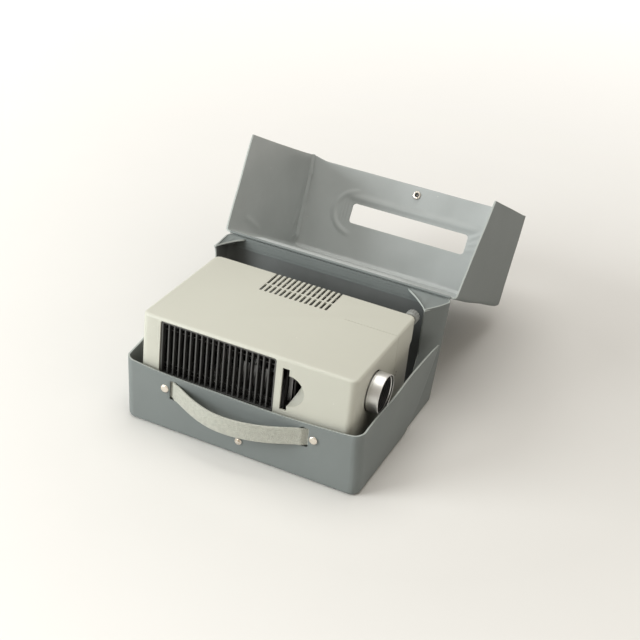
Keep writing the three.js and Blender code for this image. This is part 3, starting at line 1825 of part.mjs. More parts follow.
// The rocker is drawn level and then tipped to its off position, where it rests.
function rocker() {
  const wall = switch_rim / 2;
  const half_x = switch_width / 2 - wall - 2 * seat;
  const half_z = switch_height / 2 - wall - 4 * seat;
  const face = switch_rim + wall;
  const depth = switch_depth / 3;
  const section = flat([
    [0, -half_z],
    [face, -half_z],
    [face - seat, 0],
    [face, half_z],
    [0, half_z],
    [-depth, half_z / 2],
    [-depth, -half_z / 2],
  ]);
  const bore = rod("X", pivot_radius + running_gap, -switch_width, switch_width, 0, 0, 8);
  const g = cut(prism("X", section, -half_x, half_x), bore);
  return g.rotateX(rocker_turn / 2).translate(rocker_x, rocker_pivot_y, rocker_z);
}
add("power_switch_rocker", "black", rocker());

export default root;
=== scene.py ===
# Looks for the slide projector seated in its soft carrying case, lid thrown back.
# Metres. X runs along the projector's front, Y runs back, Z is up, as in the CAD.
import json
import math

import bmesh
import bpy
from mathutils import Matrix, Vector, noise


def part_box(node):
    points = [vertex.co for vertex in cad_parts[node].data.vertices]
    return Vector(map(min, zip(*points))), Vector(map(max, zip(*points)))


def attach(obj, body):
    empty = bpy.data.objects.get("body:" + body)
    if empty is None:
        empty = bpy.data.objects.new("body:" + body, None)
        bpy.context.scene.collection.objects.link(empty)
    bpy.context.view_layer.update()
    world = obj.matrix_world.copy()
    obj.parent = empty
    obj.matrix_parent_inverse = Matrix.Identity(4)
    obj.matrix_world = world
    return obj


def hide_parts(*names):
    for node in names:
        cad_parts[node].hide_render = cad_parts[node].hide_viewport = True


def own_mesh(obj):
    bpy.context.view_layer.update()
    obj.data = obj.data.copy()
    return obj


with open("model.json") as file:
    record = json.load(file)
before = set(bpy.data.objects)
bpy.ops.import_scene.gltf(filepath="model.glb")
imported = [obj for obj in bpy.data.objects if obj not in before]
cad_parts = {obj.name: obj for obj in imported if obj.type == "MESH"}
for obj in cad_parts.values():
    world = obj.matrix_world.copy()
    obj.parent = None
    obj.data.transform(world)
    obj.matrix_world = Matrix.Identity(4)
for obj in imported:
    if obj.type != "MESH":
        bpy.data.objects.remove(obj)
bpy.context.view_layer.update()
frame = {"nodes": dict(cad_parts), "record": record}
nodes = frame["nodes"]

MM = 0.001
TINY = 0.01 * MM

# Carrying case
vinyl = 2 * MM
half_width = 150.25 * MM
half_depth = 120 * MM
case_flare = 5.5 * MM
case_top = 143 * MM
flare_rate = case_flare / half_width / case_top
tray_corner = 12 * MM
tray_foot_round = 5 * MM
front_wall_height = 75 * MM
front_corner_rise = 7 * MM
wing_top = 98.5 * MM
wing_apex = 90 * MM  # y of the wing's highest point
wing_foot = 20 * MM  # y where the wing meets the bottom
wing_droop = 3 * MM
wing_rise_share = 0.74
wing_bulge = 7 * MM
wing_stand = 1.7 * MM  # how far the wing leans away from the back shell
wing_stand_height = 40 * MM  # above which it stands off in full
wing_lean = 5.5 * MM  # how far the right wing leans in at the front corner
wing_lean_share = 0.45
lean_start = (0.75, 0.15)  # of the half width and of the height
back_gap = 2.3 * MM  # from the tray's outer face to the back shell's
back_corner = 8 * MM
return_foot = 24 * MM
return_bend = 86.5 * MM
return_top = 77.5 * MM
bend_share = 0.52
right_lean = 18.3 * MM
left_lean = 3 * MM
web_reach_right = 57 * MM  # how far each corner web runs along the hinge
web_reach_left = 26 * MM
web_sag = 3.2 * MM
web_fold = 1.2 * MM
web_under = 0.4 * MM  # how far the webs stay below the shell's rim
hem_depth = 16 * MM
hem_thickness = 0.8 * MM
roll_depth = 0.4 * MM
weld_depth = 0.5 * MM
weld_width = 0.8 * MM
soft_height = 20 * MM  # above which the tray's walls wander in full
wall_wander = 0.8 * MM
back_foot = 2.8 * MM
mesh_step = 4 * MM

# Strap
strap_level = 57.5 * MM
strap_centre = -3 * MM
strap_width = 22.5 * MM
strap_thickness = 2.2 * MM
slit_half_span = 83.5 * MM
slit_width = 8 * MM
slit_play = 1.6 * MM
rivet_half_span = 95 * MM
strap_tail = 8 * MM
strap_bow = 18 * MM
strap_sag = 7.5 * MM
strap_peak_share = -0.12
rivet_head = 5.2 * MM
rivet_shank = 1.6 * MM
rivet_inside = 5.4 * MM  # from the wall's outer face to the washer
stud_level = 20.3 * MM
snap_pull = 8.2 * MM  # how far the socket stays above the stud
snap_bore = 2.6 * MM
wall_tilt = math.atan(half_depth * flare_rate)

# Lid
lid_open = math.radians(206.75)
hinge_height = 145 * MM
hinge_back = 123.36 * MM
lid_half = 158.35 * MM
flap_outer = -250.4 * MM
flap_length = 130 * MM
lid_corner = 7 * MM
lid_edge_round = 5 * MM
side_front_depth = 128 * MM
side_rear_length = 138 * MM
side_rear_angle = math.radians(69)
lid_left_splay = 23 * MM
handle_slot_length = 176 * MM
handle_slot_height = 28.5 * MM
handle_slot_up = 47 * MM
handle_slot_corner = 5 * MM
lid_curl = 3 * MM  # how far the flap turns in at its left end
lid_curl_width = 65 * MM
lid_bulge = 9 * MM  # of the left side's free edge near the flap
lid_bulge_width = 16 * MM
flap_clearance = 0.8 * MM  # how far the flap bows away from the front wall
flap_pleats = (-93, -97.5, -102)  # short folds left of the handle slot, in millimetres
flap_creases = (((91, 52), (112, 36)), ((92, 60), (117, 48)), ((91, 68), (112, 62)))
side_creases = (
    ((10, 22), (22, 2)),
    ((12, 60), (30, 100)),
    ((10, 112), (34, 122)),
    ((150, 118), (190, 108)),
)
panel_welds = ((5, 0.9), (9, 0.7), (22, 1.6))  # distance from the hinge and height, in millimetres
lid_mesh_step = 2.5 * MM
hinge_roll = 1.7 * MM

# Projector
body_low, body_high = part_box("housing")
grille_low, grille_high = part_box("grille")
lens_y = (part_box("lens_barrel")[0].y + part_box("lens_barrel")[1].y) / 2
lens_z = 104.8 * MM
ring_radius = 23.65 * MM
ring_back = body_high.x + 0.8 * MM
ring_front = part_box("lens_barrel")[1].x
hood_mouth = 22.6 * MM
hood_throat = 14.6 * MM
hood_ribs = 7
ring_gap = 0.8 * MM
grille_gap = 0.3 * MM
grille_corner = 3 * MM
housing_wall = 2.4 * MM
housing_corner = 9 * MM
housing_top_edge = 3.5 * MM
lip_reach = 12.4 * MM
lip_height = 21 * MM
tray_step = 6 * MM
tray_step_top = 65.8 * MM
slot_left = 180.3 * MM
slot_width = 8.5 * MM
slot_height = 54 * MM
scoop_radius = 19.7 * MM
scoop_bulge = 6 * MM
scoop_drop = 0.6 * MM
scoop_wall = 2 * MM
scoop_slope_share = 0.46
vent_count = 14
vent_pitch = 6.6 * MM
vent_width = 3.4 * MM
vent_left = 84.5 * MM
vent_front_start = 125 * MM
vent_front_length = 18 * MM
vent_rib = 1.6 * MM
vent_drop = 11 * MM
seam_back = 118.5 * MM
seam_left = 199.5 * MM
seam_width = 0.7 * MM
seam_depth = 0.5 * MM
knob_low, knob_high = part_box("focus_knob")
knob_x = (knob_low.x + knob_high.x) / 2
knob_z = (knob_low.z + knob_high.z) / 2
knob_radius = (knob_high.x - knob_low.x) / 2
knob_flutes = 14
knob_flute_depth = 0.7 * MM
bush_hole = 5.3 * MM


# Mesh tools
def near(a, b):
    return abs(a - b) < TINY


def mix(a, b, share):
    return a + (b - a) * share


def clamp(value):
    return max(0.0, min(1.0, value))


def ease(value):
    t = clamp(value)
    return t * t * (3 - 2 * t)


def box_mesh(low, high):
    bm = bmesh.new()
    bmesh.ops.create_cube(bm, size=1)
    low, high = Vector(low), Vector(high)
    bmesh.ops.scale(bm, vec=high - low, verts=bm.verts)
    bmesh.ops.translate(bm, vec=(low + high) / 2, verts=bm.verts)
    return bm


def round_edges(bm, test, radius, segments, along=None):
    """Rounds the edges whose ends pass a test, or only those of them that run along one axis."""
    edges = [e for e in bm.edges if all(test(v.co) for v in e.verts)]
    if along is not None:
        across = [i for i in range(3) if i != along]
        edges = [e for e in edges if all(near(e.verts[0].co[i], e.verts[1].co[i]) for i in across)]
    even = {"offset_type": "OFFSET", "profile": 0.5, "affect": "EDGES", "material": -1}
    bmesh.ops.bevel(bm, geom=edges, offset=radius, segments=segments, clamp_overlap=False, **even)


def drop_faces(bm, test):
    faces = [f for f in bm.faces if all(test(v.co) for v in f.verts)]
    bmesh.ops.delete(bm, geom=faces, context="FACES")


def all_of(bm):
    return bm.verts[:] + bm.edges[:] + bm.faces[:]


def moved(bm, matrix):
    bmesh.ops.transform(bm, matrix=matrix, verts=bm.verts)
    return bm


def weld(bm):
    """Joins the points that lie on each other."""
    bmesh.ops.remove_doubles(bm, verts=bm.verts, dist=TINY)


def face_outwards(bm):
    bmesh.ops.recalc_face_normals(bm, faces=bm.faces)


def cut_at(bm, axis, places):
    """Cuts the mesh across an axis at each place."""
    normal = Vector((0, 0, 0))
    normal[axis] = 1
    for place in places:
        bmesh.ops.bisect_plane(bm, geom=all_of(bm), dist=TINY, plane_co=normal * place, plane_no=normal)


def slice_up(bm, axis, low, high, step):
    """Cuts the mesh across an axis at even distances, so that it can bend."""
    count = max(1, round((high - low) / step))
    cut_at(bm, axis, [mix(low, high, i / count) for i in range(1, count)])


def slice_block(bm, low, high, step):
    for axis in range(3):
        slice_up(bm, axis, low[axis], high[axis], step)


def ridge(distance, width):
    """The height of a soft fold at a distance from its line, 1 on the line."""
    return math.exp(-((distance / width) ** 2))


def past_line(x, y, a, b):
    """How far a point is from the stretch between two points of a plane."""
    run = Vector(b) - Vector(a)
    share = clamp((Vector((x, y)) - Vector(a)).dot(run) / run.length_squared)
    return (Vector((x, y)) - Vector(a) - run * share).length


def turned_mesh(profile, centre, axis="X", steps=96):
    """A profile of (along, radius) pairs spun about an axis through centre."""
    bm = bmesh.new()
    along = {"X": Vector((1, 0, 0)), "Y": Vector((0, 1, 0)), "Z": Vector((0, 0, 1))}[axis]
    out = Vector((0, 0, 1)) if axis != "Z" else Vector((1, 0, 0))
    centre = Vector(centre)
    verts = [bm.verts.new(centre + along * a + out * r) for a, r in profile]
    edges = [bm.edges.new(pair) for pair in zip(verts, verts[1:])]
    round_about = {"cent": centre, "axis": along, "angle": 2 * math.pi, "use_merge": True}
    bmesh.ops.spin(bm, geom=verts + edges, steps=steps, **round_about)
    weld(bm)
    face_outwards(bm)
    return bm


def in_mm(profile):
    return [(a * MM, r * MM) for a, r in profile]


def rounded_plate(axis, low, high, corner, segments=6):
    """A block whose four edges along one axis are rounded."""
    bm = box_mesh(low, high)
    round_edges(bm, lambda c: True, corner, segments, axis)
    return bm


def shift_new(bm, made, way):
    """Moves the points that an extrusion made."""
    new = [g for g in made["geom"] if isinstance(g, bmesh.types.BMVert)]
    bmesh.ops.translate(bm, vec=way, verts=new)
    face_outwards(bm)


def prism(outline, way):
    """A solid from a flat outline of points, drawn out along a vector."""
    bm = bmesh.new()
    face = bm.faces.new([bm.verts.new(point) for point in outline])
    shift_new(bm, bmesh.ops.extrude_face_region(bm, geom=[face]), way)
    return bm


def sheet_mesh(across, up):
    """A flat sheet of one metre by one metre round the origin, in even squares."""
    bm = bmesh.new()
    bmesh.ops.create_grid(bm, x_segments=across, y_segments=up, size=0.5)
    return bm


def face_along(bm, way):
    """Turns an open sheet so that its outer side faces along a vector."""
    face_outwards(bm)
    if sum(f.normal.dot(way) for f in bm.faces) < 0:
        bmesh.ops.reverse_faces(bm, faces=bm.faces)


def place_object(name, data):
    obj = bpy.data.objects.new(name, data)
    bpy.context.scene.collection.objects.link(obj)
    return obj


def mesh_object(name, bm, finish=None):
    mesh = bpy.data.meshes.new(name)
    bm.to_mesh(mesh)
    bm.free()
    if finish:
        mesh.materials.append(finish)
    return place_object(name, mesh)


def apply_modifiers(obj):
    bpy.context.view_layer.update()
    graph = bpy.context.evaluated_depsgraph_get()
    made = bpy.data.meshes.new_from_object(obj.evaluated_get(graph))
    obj.modifiers.clear()
    old = obj.data
    obj.data = made
    bpy.data.meshes.remove(old)


def carve(obj, cutters, operation="DIFFERENCE", finish=None):
    """Takes each cutter out of the piece, or adds it. The cut faces get the finish, if one is given."""
    tools = []
    for cutter in cutters:
        tool = mesh_object("tool", cutter, finish)
        tools.append(tool)
        step = obj.modifiers.new("carve", "BOOLEAN")
        step.operation = operation
        step.solver = "EXACT"
        step.material_mode = "TRANSFER" if finish else "INDEX"
        step.object = tool
    apply_modifiers(obj)
    for tool in tools:
        bpy.data.objects.remove(tool)


def joined(*meshes):
    """Several bmeshes as one."""
    whole = bmesh.new()
    for bm in meshes:
        part = bpy.data.meshes.new("part")
        bm.to_mesh(part)
        bm.free()
        whole.from_mesh(part)
        bpy.data.meshes.remove(part)
    return whole


def shade(obj, angle=35):
    for face in obj.data.polygons:
        face.use_smooth = True
    obj.data.set_sharp_from_angle(angle=math.radians(angle))


def soften(obj, width, segments=2, angle=40):
    step = obj.modifiers.new("soft edges", "BEVEL")
    step.width = width
    step.segments = segments
    step.limit_method = "ANGLE"
    step.angle_limit = math.radians(angle)
    step.use_clamp_overlap = True
    apply_modifiers(obj)


def thicken(obj, thickness, inner_slot=0, edge_slot=0):
    step = obj.modifiers.new("thickness", "SOLIDIFY")
    step.thickness = thickness
    step.offset = -1
    step.use_even_offset = True
    step.material_offset = inner_slot
    step.material_offset_rim = edge_slot
    apply_modifiers(obj)


def case_sheet(name, bm, inside):
    """A piece of the case's vinyl: grained outside, smooth inside in the inside finish given, which
    carries painted shade in the case and painted light in the lid, and a painted highlight on its cut
    edges.
    """
    obj = mesh_object(name, bm, vinyl_out)
    obj.data.materials.append(inside)
    obj.data.materials.append(vinyl_edge_highlight)
    thicken(obj, vinyl, 1, 2)
    return obj


def finish_sheet(obj, body, replaces=(), edge=0.5 * MM):
    soften(obj, edge)
    shade(obj)
    place_piece(obj, body, replaces)


def hardware(name, bm, finish, body, replaces=(), angle=30):
    """A small rigid piece with one finish."""
    obj = mesh_object(name, bm, finish)
    shade(obj, angle)
    return place_piece(obj, body, replaces)


def place_piece(obj, body, replaces=()):
    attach(obj, body)
    if replaces:
        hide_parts(*replaces)
    return obj


# Shader tools
def feed(tree, socket, value):
    if isinstance(value, bpy.types.NodeSocket):
        tree.links.new(value, socket)
    elif isinstance(value, (tuple, list)) and socket.type == "RGBA" and len(value) == 3:
        socket.default_value = (*value, 1)
    else:
        socket.default_value = value


def put(tree, kind, inputs=None, **settings):
    made = tree.nodes.new("ShaderNode" + kind)
    for name, value in settings.items():
        setattr(made, name, value)
    for key, value in (inputs or {}).items():
        feed(tree, made.inputs[key], value)
    return made


def place_group(tree, group, inputs):
    """Puts a shader group in a tree and fills its named sockets."""
    made = put(tree, "Group", node_tree=group)
    for label, value in inputs.items():
        feed(tree, made.inputs[label], value)
    return made


def calc(tree, operation, *values):
    return put(tree, "Math", dict(enumerate(values)), operation=operation).outputs[0]


def blend_colour(tree, share, a, b, how="MIX"):
    made = put(tree, "Mix", data_type="RGBA", blend_type=how)
    feed(tree, made.inputs[0], share)
    feed(tree, made.inputs[6], a)
    feed(tree, made.inputs[7], b)
    return made.outputs[2]


def new_group(name, inputs, outputs):
    """An empty shader group. Inputs are (name, kind, value) and outputs (name, kind)."""
    group = bpy.data.node_groups.new(name, "ShaderNodeTree")
    for label, kind, value in inputs:
        socket = group.interface.new_socket(label, in_out="INPUT", socket_type="NodeSocket" + kind)
        if value is not None:
            socket.default_value = value
    for label, kind in outputs:
        group.interface.new_socket(label, in_out="OUTPUT", socket_type="NodeSocket" + kind)
    source = group.nodes.new("NodeGroupInput")
    sink = group.nodes.new("NodeGroupOutput")
    return group, source.outputs, sink.inputs


def pebble_group():
    """Fine embossed grain: rounded cells with narrow valleys between them."""
    group, given, out = new_group(
        "Pebble grain",
        [("Vector", "Vector", None), ("Cell", "Float", 1 * MM), ("Wander", "Float", 0.4)],
        [("Height", "Float")],
    )
    density = calc(group, "DIVIDE", 1.0, given["Cell"])
    drift = put(group, "TexNoise", {"Vector": given["Vector"], "Scale": density, "Detail": 2.0})
    spread = {"Vector": given["Vector"], "Scale": density, "Randomness": 0.9}
    cells = put(group, "TexVoronoi", spread, feature="SMOOTH_F1")
    dome = calc(group, "SUBTRACT", 1.0, cells.outputs["Distance"])
    uneven = calc(group, "MULTIPLY", drift.outputs["Fac"], given["Wander"])
    group.links.new(calc(group, "ADD", dome, uneven), out["Height"])
    return group


def cloud_group():
    """Slow, uneven change across a surface, from 0 to 1."""
    group, given, out = new_group(
        "Cloud",
        [("Vector", "Vector", None), ("Size", "Float", 60 * MM), ("Contrast", "Float", 1.5)],
        [("Mask", "Float")],
    )
    density = calc(group, "DIVIDE", 1.0, given["Size"])
    settings = {"Scale": density, "Detail": 4.0, "Roughness": 0.55, "Distortion": 0.3}
    drift = put(group, "TexNoise", {"Vector": given["Vector"], **settings})
    centred = calc(group, "SUBTRACT", drift.outputs["Fac"], 0.5)
    wide = calc(group, "MULTIPLY", centred, given["Contrast"])
    shifted = put(group, "Math", {0: wide, 1: 0.5}, operation="ADD", use_clamp=True)
    group.links.new(shifted.outputs[0], out["Mask"])
    return group


def speck_group():
    """Small scattered specks of dust and lint, as a mask."""
    group, given, out = new_group(
        "Specks",
        [("Vector", "Vector", None), ("Spacing", "Float", 6 * MM), ("Share", "Float", 0.1)],
        [("Mask", "Float")],
    )
    density = calc(group, "DIVIDE", 1.0, given["Spacing"])
    cells = put(group, "TexVoronoi", {"Vector": given["Vector"], "Scale": density, "Randomness": 1.0})
    tone = put(group, "SeparateColor", {0: cells.outputs["Color"]})
    chosen = calc(group, "LESS_THAN", tone.outputs[0], given["Share"])
    size = calc(group, "MULTIPLY", tone.outputs[1], 0.16)
    close = calc(group, "LESS_THAN", cells.outputs["Distance"], size)
    group.links.new(calc(group, "MULTIPLY", chosen, close), out["Mask"])
    return group


def tint_group():
    """A base colour that drifts between a lighter and a darker tone, with specks on it."""
    group, given, out = new_group(
        "Worn colour",
        [
            ("Vector", "Vector", None),
            ("Colour", "Color", (0.5, 0.5, 0.5, 1)),
            ("Drift", "Float", 0.1),
            ("Drift size", "Float", 60 * MM),
            ("Speck colour", "Color", (0.7, 0.7, 0.65, 1)),
            ("Speck share", "Float", 0.05),
        ],
        [("Colour", "Color"), ("Cloud", "Float"), ("Specks", "Float")],
    )
    place = {"Vector": given["Vector"]}
    small = calc(group, "MULTIPLY", given["Drift size"], 0.2)
    cloud = place_group(group, cloud_nodes, {**place, "Size": given["Drift size"]})
    fine = place_group(group, cloud_nodes, {**place, "Size": small})
    specks = place_group(group, speck_nodes, {**place, "Share": given["Speck share"]})
    both = calc(group, "ADD", cloud.outputs["Mask"], calc(group, "MULTIPLY", fine.outputs["Mask"], 0.35))
    swing = calc(group, "MULTIPLY", calc(group, "SUBTRACT", both, 0.67), given["Drift"])
    level = calc(group, "ADD", swing, 1.0)
    grey = put(group, "CombineColor", {0: level, 1: level, 2: level})
    toned = blend_colour(group, 1.0, given["Colour"], grey.outputs[0], "MULTIPLY")
    dusty = calc(group, "MULTIPLY", specks.outputs["Mask"], 0.6)
    group.links.new(blend_colour(group, dusty, toned, given["Speck colour"]), out["Colour"])
    group.links.new(cloud.outputs["Mask"], out["Cloud"])
    group.links.new(specks.outputs["Mask"], out["Specks"])
    return group


def turning_group():
    """Fine rings left by a lathe round an axis along X."""
    group, given, out = new_group(
        "Turning marks",
        [("Vector", "Vector", None), ("Centre", "Vector", (0, 0, 0)), ("Pitch", "Float", 0.4 * MM)],
        [("Height", "Float")],
    )
    away = put(group, "VectorMath", {0: given["Vector"], 1: given["Centre"]}, operation="SUBTRACT")
    parts = put(group, "SeparateXYZ", {0: away.outputs[0]})
    flat = put(group, "CombineXYZ", {1: parts.outputs[1], 2: parts.outputs[2]})
    radius = put(group, "VectorMath", {0: flat.outputs[0]}, operation="LENGTH").outputs["Value"]
    line = put(group, "CombineXYZ", {0: parts.outputs[0], 1: radius})
    density = calc(group, "DIVIDE", 1.0, given["Pitch"])
    marks = put(group, "TexNoise", {"Vector": line.outputs[0], "Scale": density, "Detail": 3.0})
    group.links.new(marks.outputs["Fac"], out["Height"])
    return group


pebble_nodes = pebble_group()
cloud_nodes = cloud_group()
speck_nodes = speck_group()
tint_nodes = tint_group()
turning_nodes = turning_group()


def new_material(name):
    material = bpy.data.materials.new(name)
    material.use_nodes = True
    tree = material.node_tree
    tree.nodes.clear()
    shader = put(tree, "BsdfPrincipled")
    output = tree.nodes.new("ShaderNodeOutputMaterial")
    tree.links.new(shader.outputs[0], output.inputs["Surface"])
    where = put(tree, "TexCoord").outputs["Object"]
    return material, tree, shader, where


def worn_colour(tree, where, colour, drift, size, speck_share):
    inputs = {"Vector": where, "Colour": colour, "Drift": drift, "Drift size": size}
    inputs.update({"Speck share": speck_share, "Speck colour": (0.7, 0.7, 0.65)})
    return place_group(tree, tint_nodes, inputs).outputs


def grain_bump(tree, where, shader, cell, depth):
    grain = place_group(tree, pebble_nodes, {"Vector": where, "Cell": cell})
    bump = put(tree, "Bump", {"Strength": 1.0, "Distance": depth, "Height": grain.outputs["Height"]})
    tree.links.new(bump.outputs[0], shader.inputs["Normal"])


def rough_range(tree, shader, mask, low, high):
    span = put(tree, "MapRange", {0: mask, 3: low, 4: high})
    tree.links.new(span.outputs[0], shader.inputs["Roughness"])


def moulded(name, colour, rough, drift, size, cell=0.7, depth=0.02, specks=0.03, gloss=0.5):
    """Plastic, rubber or vinyl: a drifting colour, a fine grain and an uneven sheen, in millimetres."""
    material, tree, shader, where = new_material(name)
    colours = worn_colour(tree, where, colour, drift, size * MM, specks)
    tree.links.new(colours["Colour"], shader.inputs["Base Color"])
    grain_bump(tree, where, shader, cell * MM, depth * MM)
    rough_range(tree, shader, colours["Cloud"], rough - 0.06, rough + 0.06)
    shader.inputs["Specular IOR Level"].default_value = gloss
    return material


def metal(name, colour, rough, marks=0.03 * MM, pitch=0.5 * MM, centre=(0, 0, 0)):
    """Bare metal with fine marks round an axis along X and an uneven sheen."""
    material, tree, shader, where = new_material(name)
    colours = worn_colour(tree, where, colour, 0.08, 25 * MM, 0.01)
    tree.links.new(colours["Colour"], shader.inputs["Base Color"])
    shader.inputs["Metallic"].default_value = 1
    rings = place_group(tree, turning_nodes, {"Vector": where, "Centre": centre, "Pitch": pitch})
    bump = put(tree, "Bump", {"Strength": 0.5, "Distance": marks, "Height": rings.outputs["Height"]})
    tree.links.new(bump.outputs[0], shader.inputs["Normal"])
    rough_range(tree, shader, rings.outputs["Height"], rough - 0.05, rough + 0.1)
    return material


def clear_glass(name, tint):
    material, tree, shader, where = new_material(name)
    smear = place_group(tree, cloud_nodes, {"Vector": where, "Size": 12 * MM})
    tinted = blend_colour(tree, smear.outputs["Mask"], tint, (1, 1, 1))
    tree.links.new(tinted, shader.inputs["Base Color"])
    rough_range(tree, shader, smear.outputs["Mask"], 0.01, 0.06)
    shader.inputs["Transmission Weight"].default_value = 1
    shader.inputs["IOR"].default_value = 1.52
    return material


# Name, colour, roughness, drift of the colour, its size, grain cell and depth in millimetres
vinyl_out = moulded(
    "Grey vinyl, outside", (0.2, 0.221, 0.217), 0.5, 0.1, 90, 0.9, 0.03, specks=0.004, gloss=0.2
)
# Painted highlight: the cut edges are lighter than the vinyl's faces, in place of the light they catch.
vinyl_edge_highlight = moulded("Grey vinyl, cut edge, painted highlight", (0.36, 0.39, 0.37), 0.45, 0.1, 40)
# Smooth inner face of the same vinyl. Its darker colour is painted shade.
vinyl_in_painted_shade = moulded("Grey vinyl, inside, painted shade", (0.17, 0.18, 0.178), 0.4, 0.2, 50, 1.2)
# Smooth inner face of the lid, the same vinyl. Its colour, about twice as light as the outside, is
# painted light.
vinyl_lid_painted_light = moulded("Grey vinyl, lid inside, painted light", (0.42, 0.445, 0.44), 0.38, 0.12, 70, 1.2)
strap_finish = moulded("Pale vinyl strap", (0.44, 0.445, 0.39), 0.5, 0.32, 4, 1.5, 0.7)
housing_finish = moulded("Warm grey plastic", (0.545, 0.545, 0.475), 0.42, 0.035, 90, 0.5, 0.006)
black_finish = moulded("Black plastic", (0.032, 0.031, 0.029), 0.5, 0.3, 20, 0.6, specks=0.12)
black_metal = moulded("Black sheet steel", (0.04, 0.039, 0.037), 0.55, 0.2, 30, 0.8)
rubber = moulded("Black rubber", (0.016, 0.016, 0.015), 0.75, 0.25, 8, 0.6, 0.03)
knob_finish = moulded("Grey knob plastic", (0.25, 0.26, 0.25), 0.42, 0.08, 10)
coil_wrap = moulded("Varnished winding", (0.32, 0.12, 0.05), 0.4, 0.25, 10, 1.5, 0.1)
nickel = metal("Nickel plate", (0.78, 0.72, 0.64), 0.22, 0.01 * MM)
lens_metal = metal(
    "Turned aluminium", (0.66, 0.66, 0.64), 0.38, 0.03 * MM, 0.5 * MM, (0, lens_y, lens_z)
)
cast_metal = metal("Cast aluminium", (0.5, 0.5, 0.48), 0.45, 0.1 * MM, 2 * MM)
steel = metal("Zinc plated steel", (0.42, 0.42, 0.42), 0.35)
glass = clear_glass("Coated glass", (0.86, 0.88, 0.98))
# Painted shade: the housing's inner faces are painted dark, in place of the shade inside the shell.
inside_painted_shade = moulded("Inside of the shell, painted shade", (0.06, 0.057, 0.05), 0.6, 0.15, 40)
# Painted shade: the finger dish is the housing's plastic made darker, in place of the shade inside the
# dish.
dish_painted_shade = moulded("Warm grey plastic, finger dish, painted shade", (0.43, 0.43, 0.375), 0.42, 0.05, 20)


def highlit_black():
    """Black plastic whose front edges carry a painted highlight in dull grey."""
    material, tree, shader, where = new_material("Black plastic, painted highlight on front edges")
    colours = worn_colour(tree, where, (0.045, 0.045, 0.044), 0.3, 20 * MM, 0.12)
    place = put(tree, "SeparateXYZ", {0: where}).outputs[1]
    # Painted highlight: the fins' front 1.6 mm is lightened towards dull grey, in place of the light
    # caught on their front edges.
    front = grille_low.y
    reach = put(tree, "MapRange", {0: place, 1: front + 0.2 * MM, 2: front + 1.6 * MM, 3: 0.55, 4: 0})
    toned = blend_colour(tree, reach.outputs[0], colours["Colour"], (0.12, 0.12, 0.115))
    tree.links.new(toned, shader.inputs["Base Color"])
    grain_bump(tree, where, shader, 0.6 * MM, 0.02 * MM)
    rough_range(tree, shader, colours["Cloud"], 0.3, 0.42)
    return material


grille_finish = highlit_black()
hood_finish = moulded("Black anodised hood", (0.02, 0.02, 0.02), 0.35, 0.2, 10, 0.5, 0.01, 0.05)

finish_of_slot = {
    "case_vinyl": vinyl_out,
    "strap_vinyl": strap_finish,
    "nickel": nickel,
    "housing_plastic": housing_finish,
    "black_plastic": black_finish,
    "black_metal": black_metal,
    "foot_rubber": rubber,
    "cast_aluminium": cast_metal,
    "lens_aluminium": lens_metal,
    "steel": steel,
    "lens_glass": glass,
    "knob_plastic": knob_finish,
    "coil_wrap": coil_wrap,
}


# Carrying case
def flared(x, y, z):
    return Vector((x * (1 + flare_rate * z), y * (1 + flare_rate * z), z))


def wobble(point, size, depth):
    """How far a soft wall wanders at a point."""
    return depth * noise.noise(Vector(point) / size)


def rim_height(x):
    return front_wall_height + front_corner_rise * abs(x / half_width) ** 3


def wing_rim(share):
    low = rim_height(half_width)
    climb = math.sin(min(1, share / wing_rise_share) * math.pi / 2)
    fall = max(0, share - wing_rise_share) / (1 - wing_rise_share)
    return low + (wing_top - low) * climb - wing_droop * fall * fall


def case_tray():
    """Front wall, wings and bottom, one sheet with rounded edges."""
    height = wing_top
    front = -half_depth
    low = (-half_width, front, 0)
    high = (half_width, wing_apex, height)
    bm = box_mesh(low, high)
    corner_y = front + tray_corner
    round_edges(bm, lambda c: near(c.y, front), tray_corner, 8, 2)
    drop_faces(bm, lambda c: near(c.z, height))
    drop_faces(bm, lambda c: near(c.y, wing_apex))

    def on_foot(c):
        return near(c.z, 0) and (near(abs(c.x), half_width) or c.y < corner_y + TINY)

    round_edges(bm, on_foot, tray_foot_round, 5)
    slice_block(bm, low, high, mesh_step)
    for v in bm.verts:
        x, y, z = v.co
        share = z / height
        if y > corner_y:
            back = (y - corner_y) / (wing_apex - corner_y)
            edge = mix(wing_foot, wing_apex, share)
            swell = wing_bulge * 4 * share * (1 - share) * back
            y = mix(corner_y, edge, back) + swell
            outer = ease(abs(x) / half_width * 2 - 1)
            x += math.copysign(wing_stand, x) * back * back * ease(z / wing_stand_height) * outer
            rim = wing_rim(back)
        else:
            back = 0
            rim = rim_height(x)
        at = (v.co.x / half_width, share)
        side, up = (ease((a - start) / (1 - start)) for a, start in zip(at, lean_start))
        x -= wing_lean * side * up * (1 - ease(back / wing_lean_share))
        if z > tray_foot_round:
            z = mix(tray_foot_round, rim, (z - tray_foot_round) / (height - tray_foot_round))
        x, y, z = flared(x, y, z)
        soft = ease(z / soft_height)
        sway = wobble((x, y, z), 60 * MM, wall_wander) * soft
        swell = wobble((y, z, x), 70 * MM, wall_wander) * soft
        v.co = (x + sway, y + swell, z)
    rear = [e for e in bm.edges if all(near(v.co.z, 0) and near(v.co.y, wing_foot) for v in e.verts)]
    shift_new(bm, bmesh.ops.extrude_edge_only(bm, edges=rear), (0, half_depth - wing_foot, 0))
    obj = case_sheet("case_tray", bm, vinyl_in_painted_shade)
    carve(obj, [slit_cutter(-1), slit_cutter(1)])
    finish_sheet(obj, "case", ("case_front_shell", "case_bottom"))


def to_front_wall():
    """From the upright frame of the strap to the sloping front wall."""
    return Matrix.Translation((0, -half_depth, 0)) @ Matrix.Rotation(wall_tilt, 4, "X")


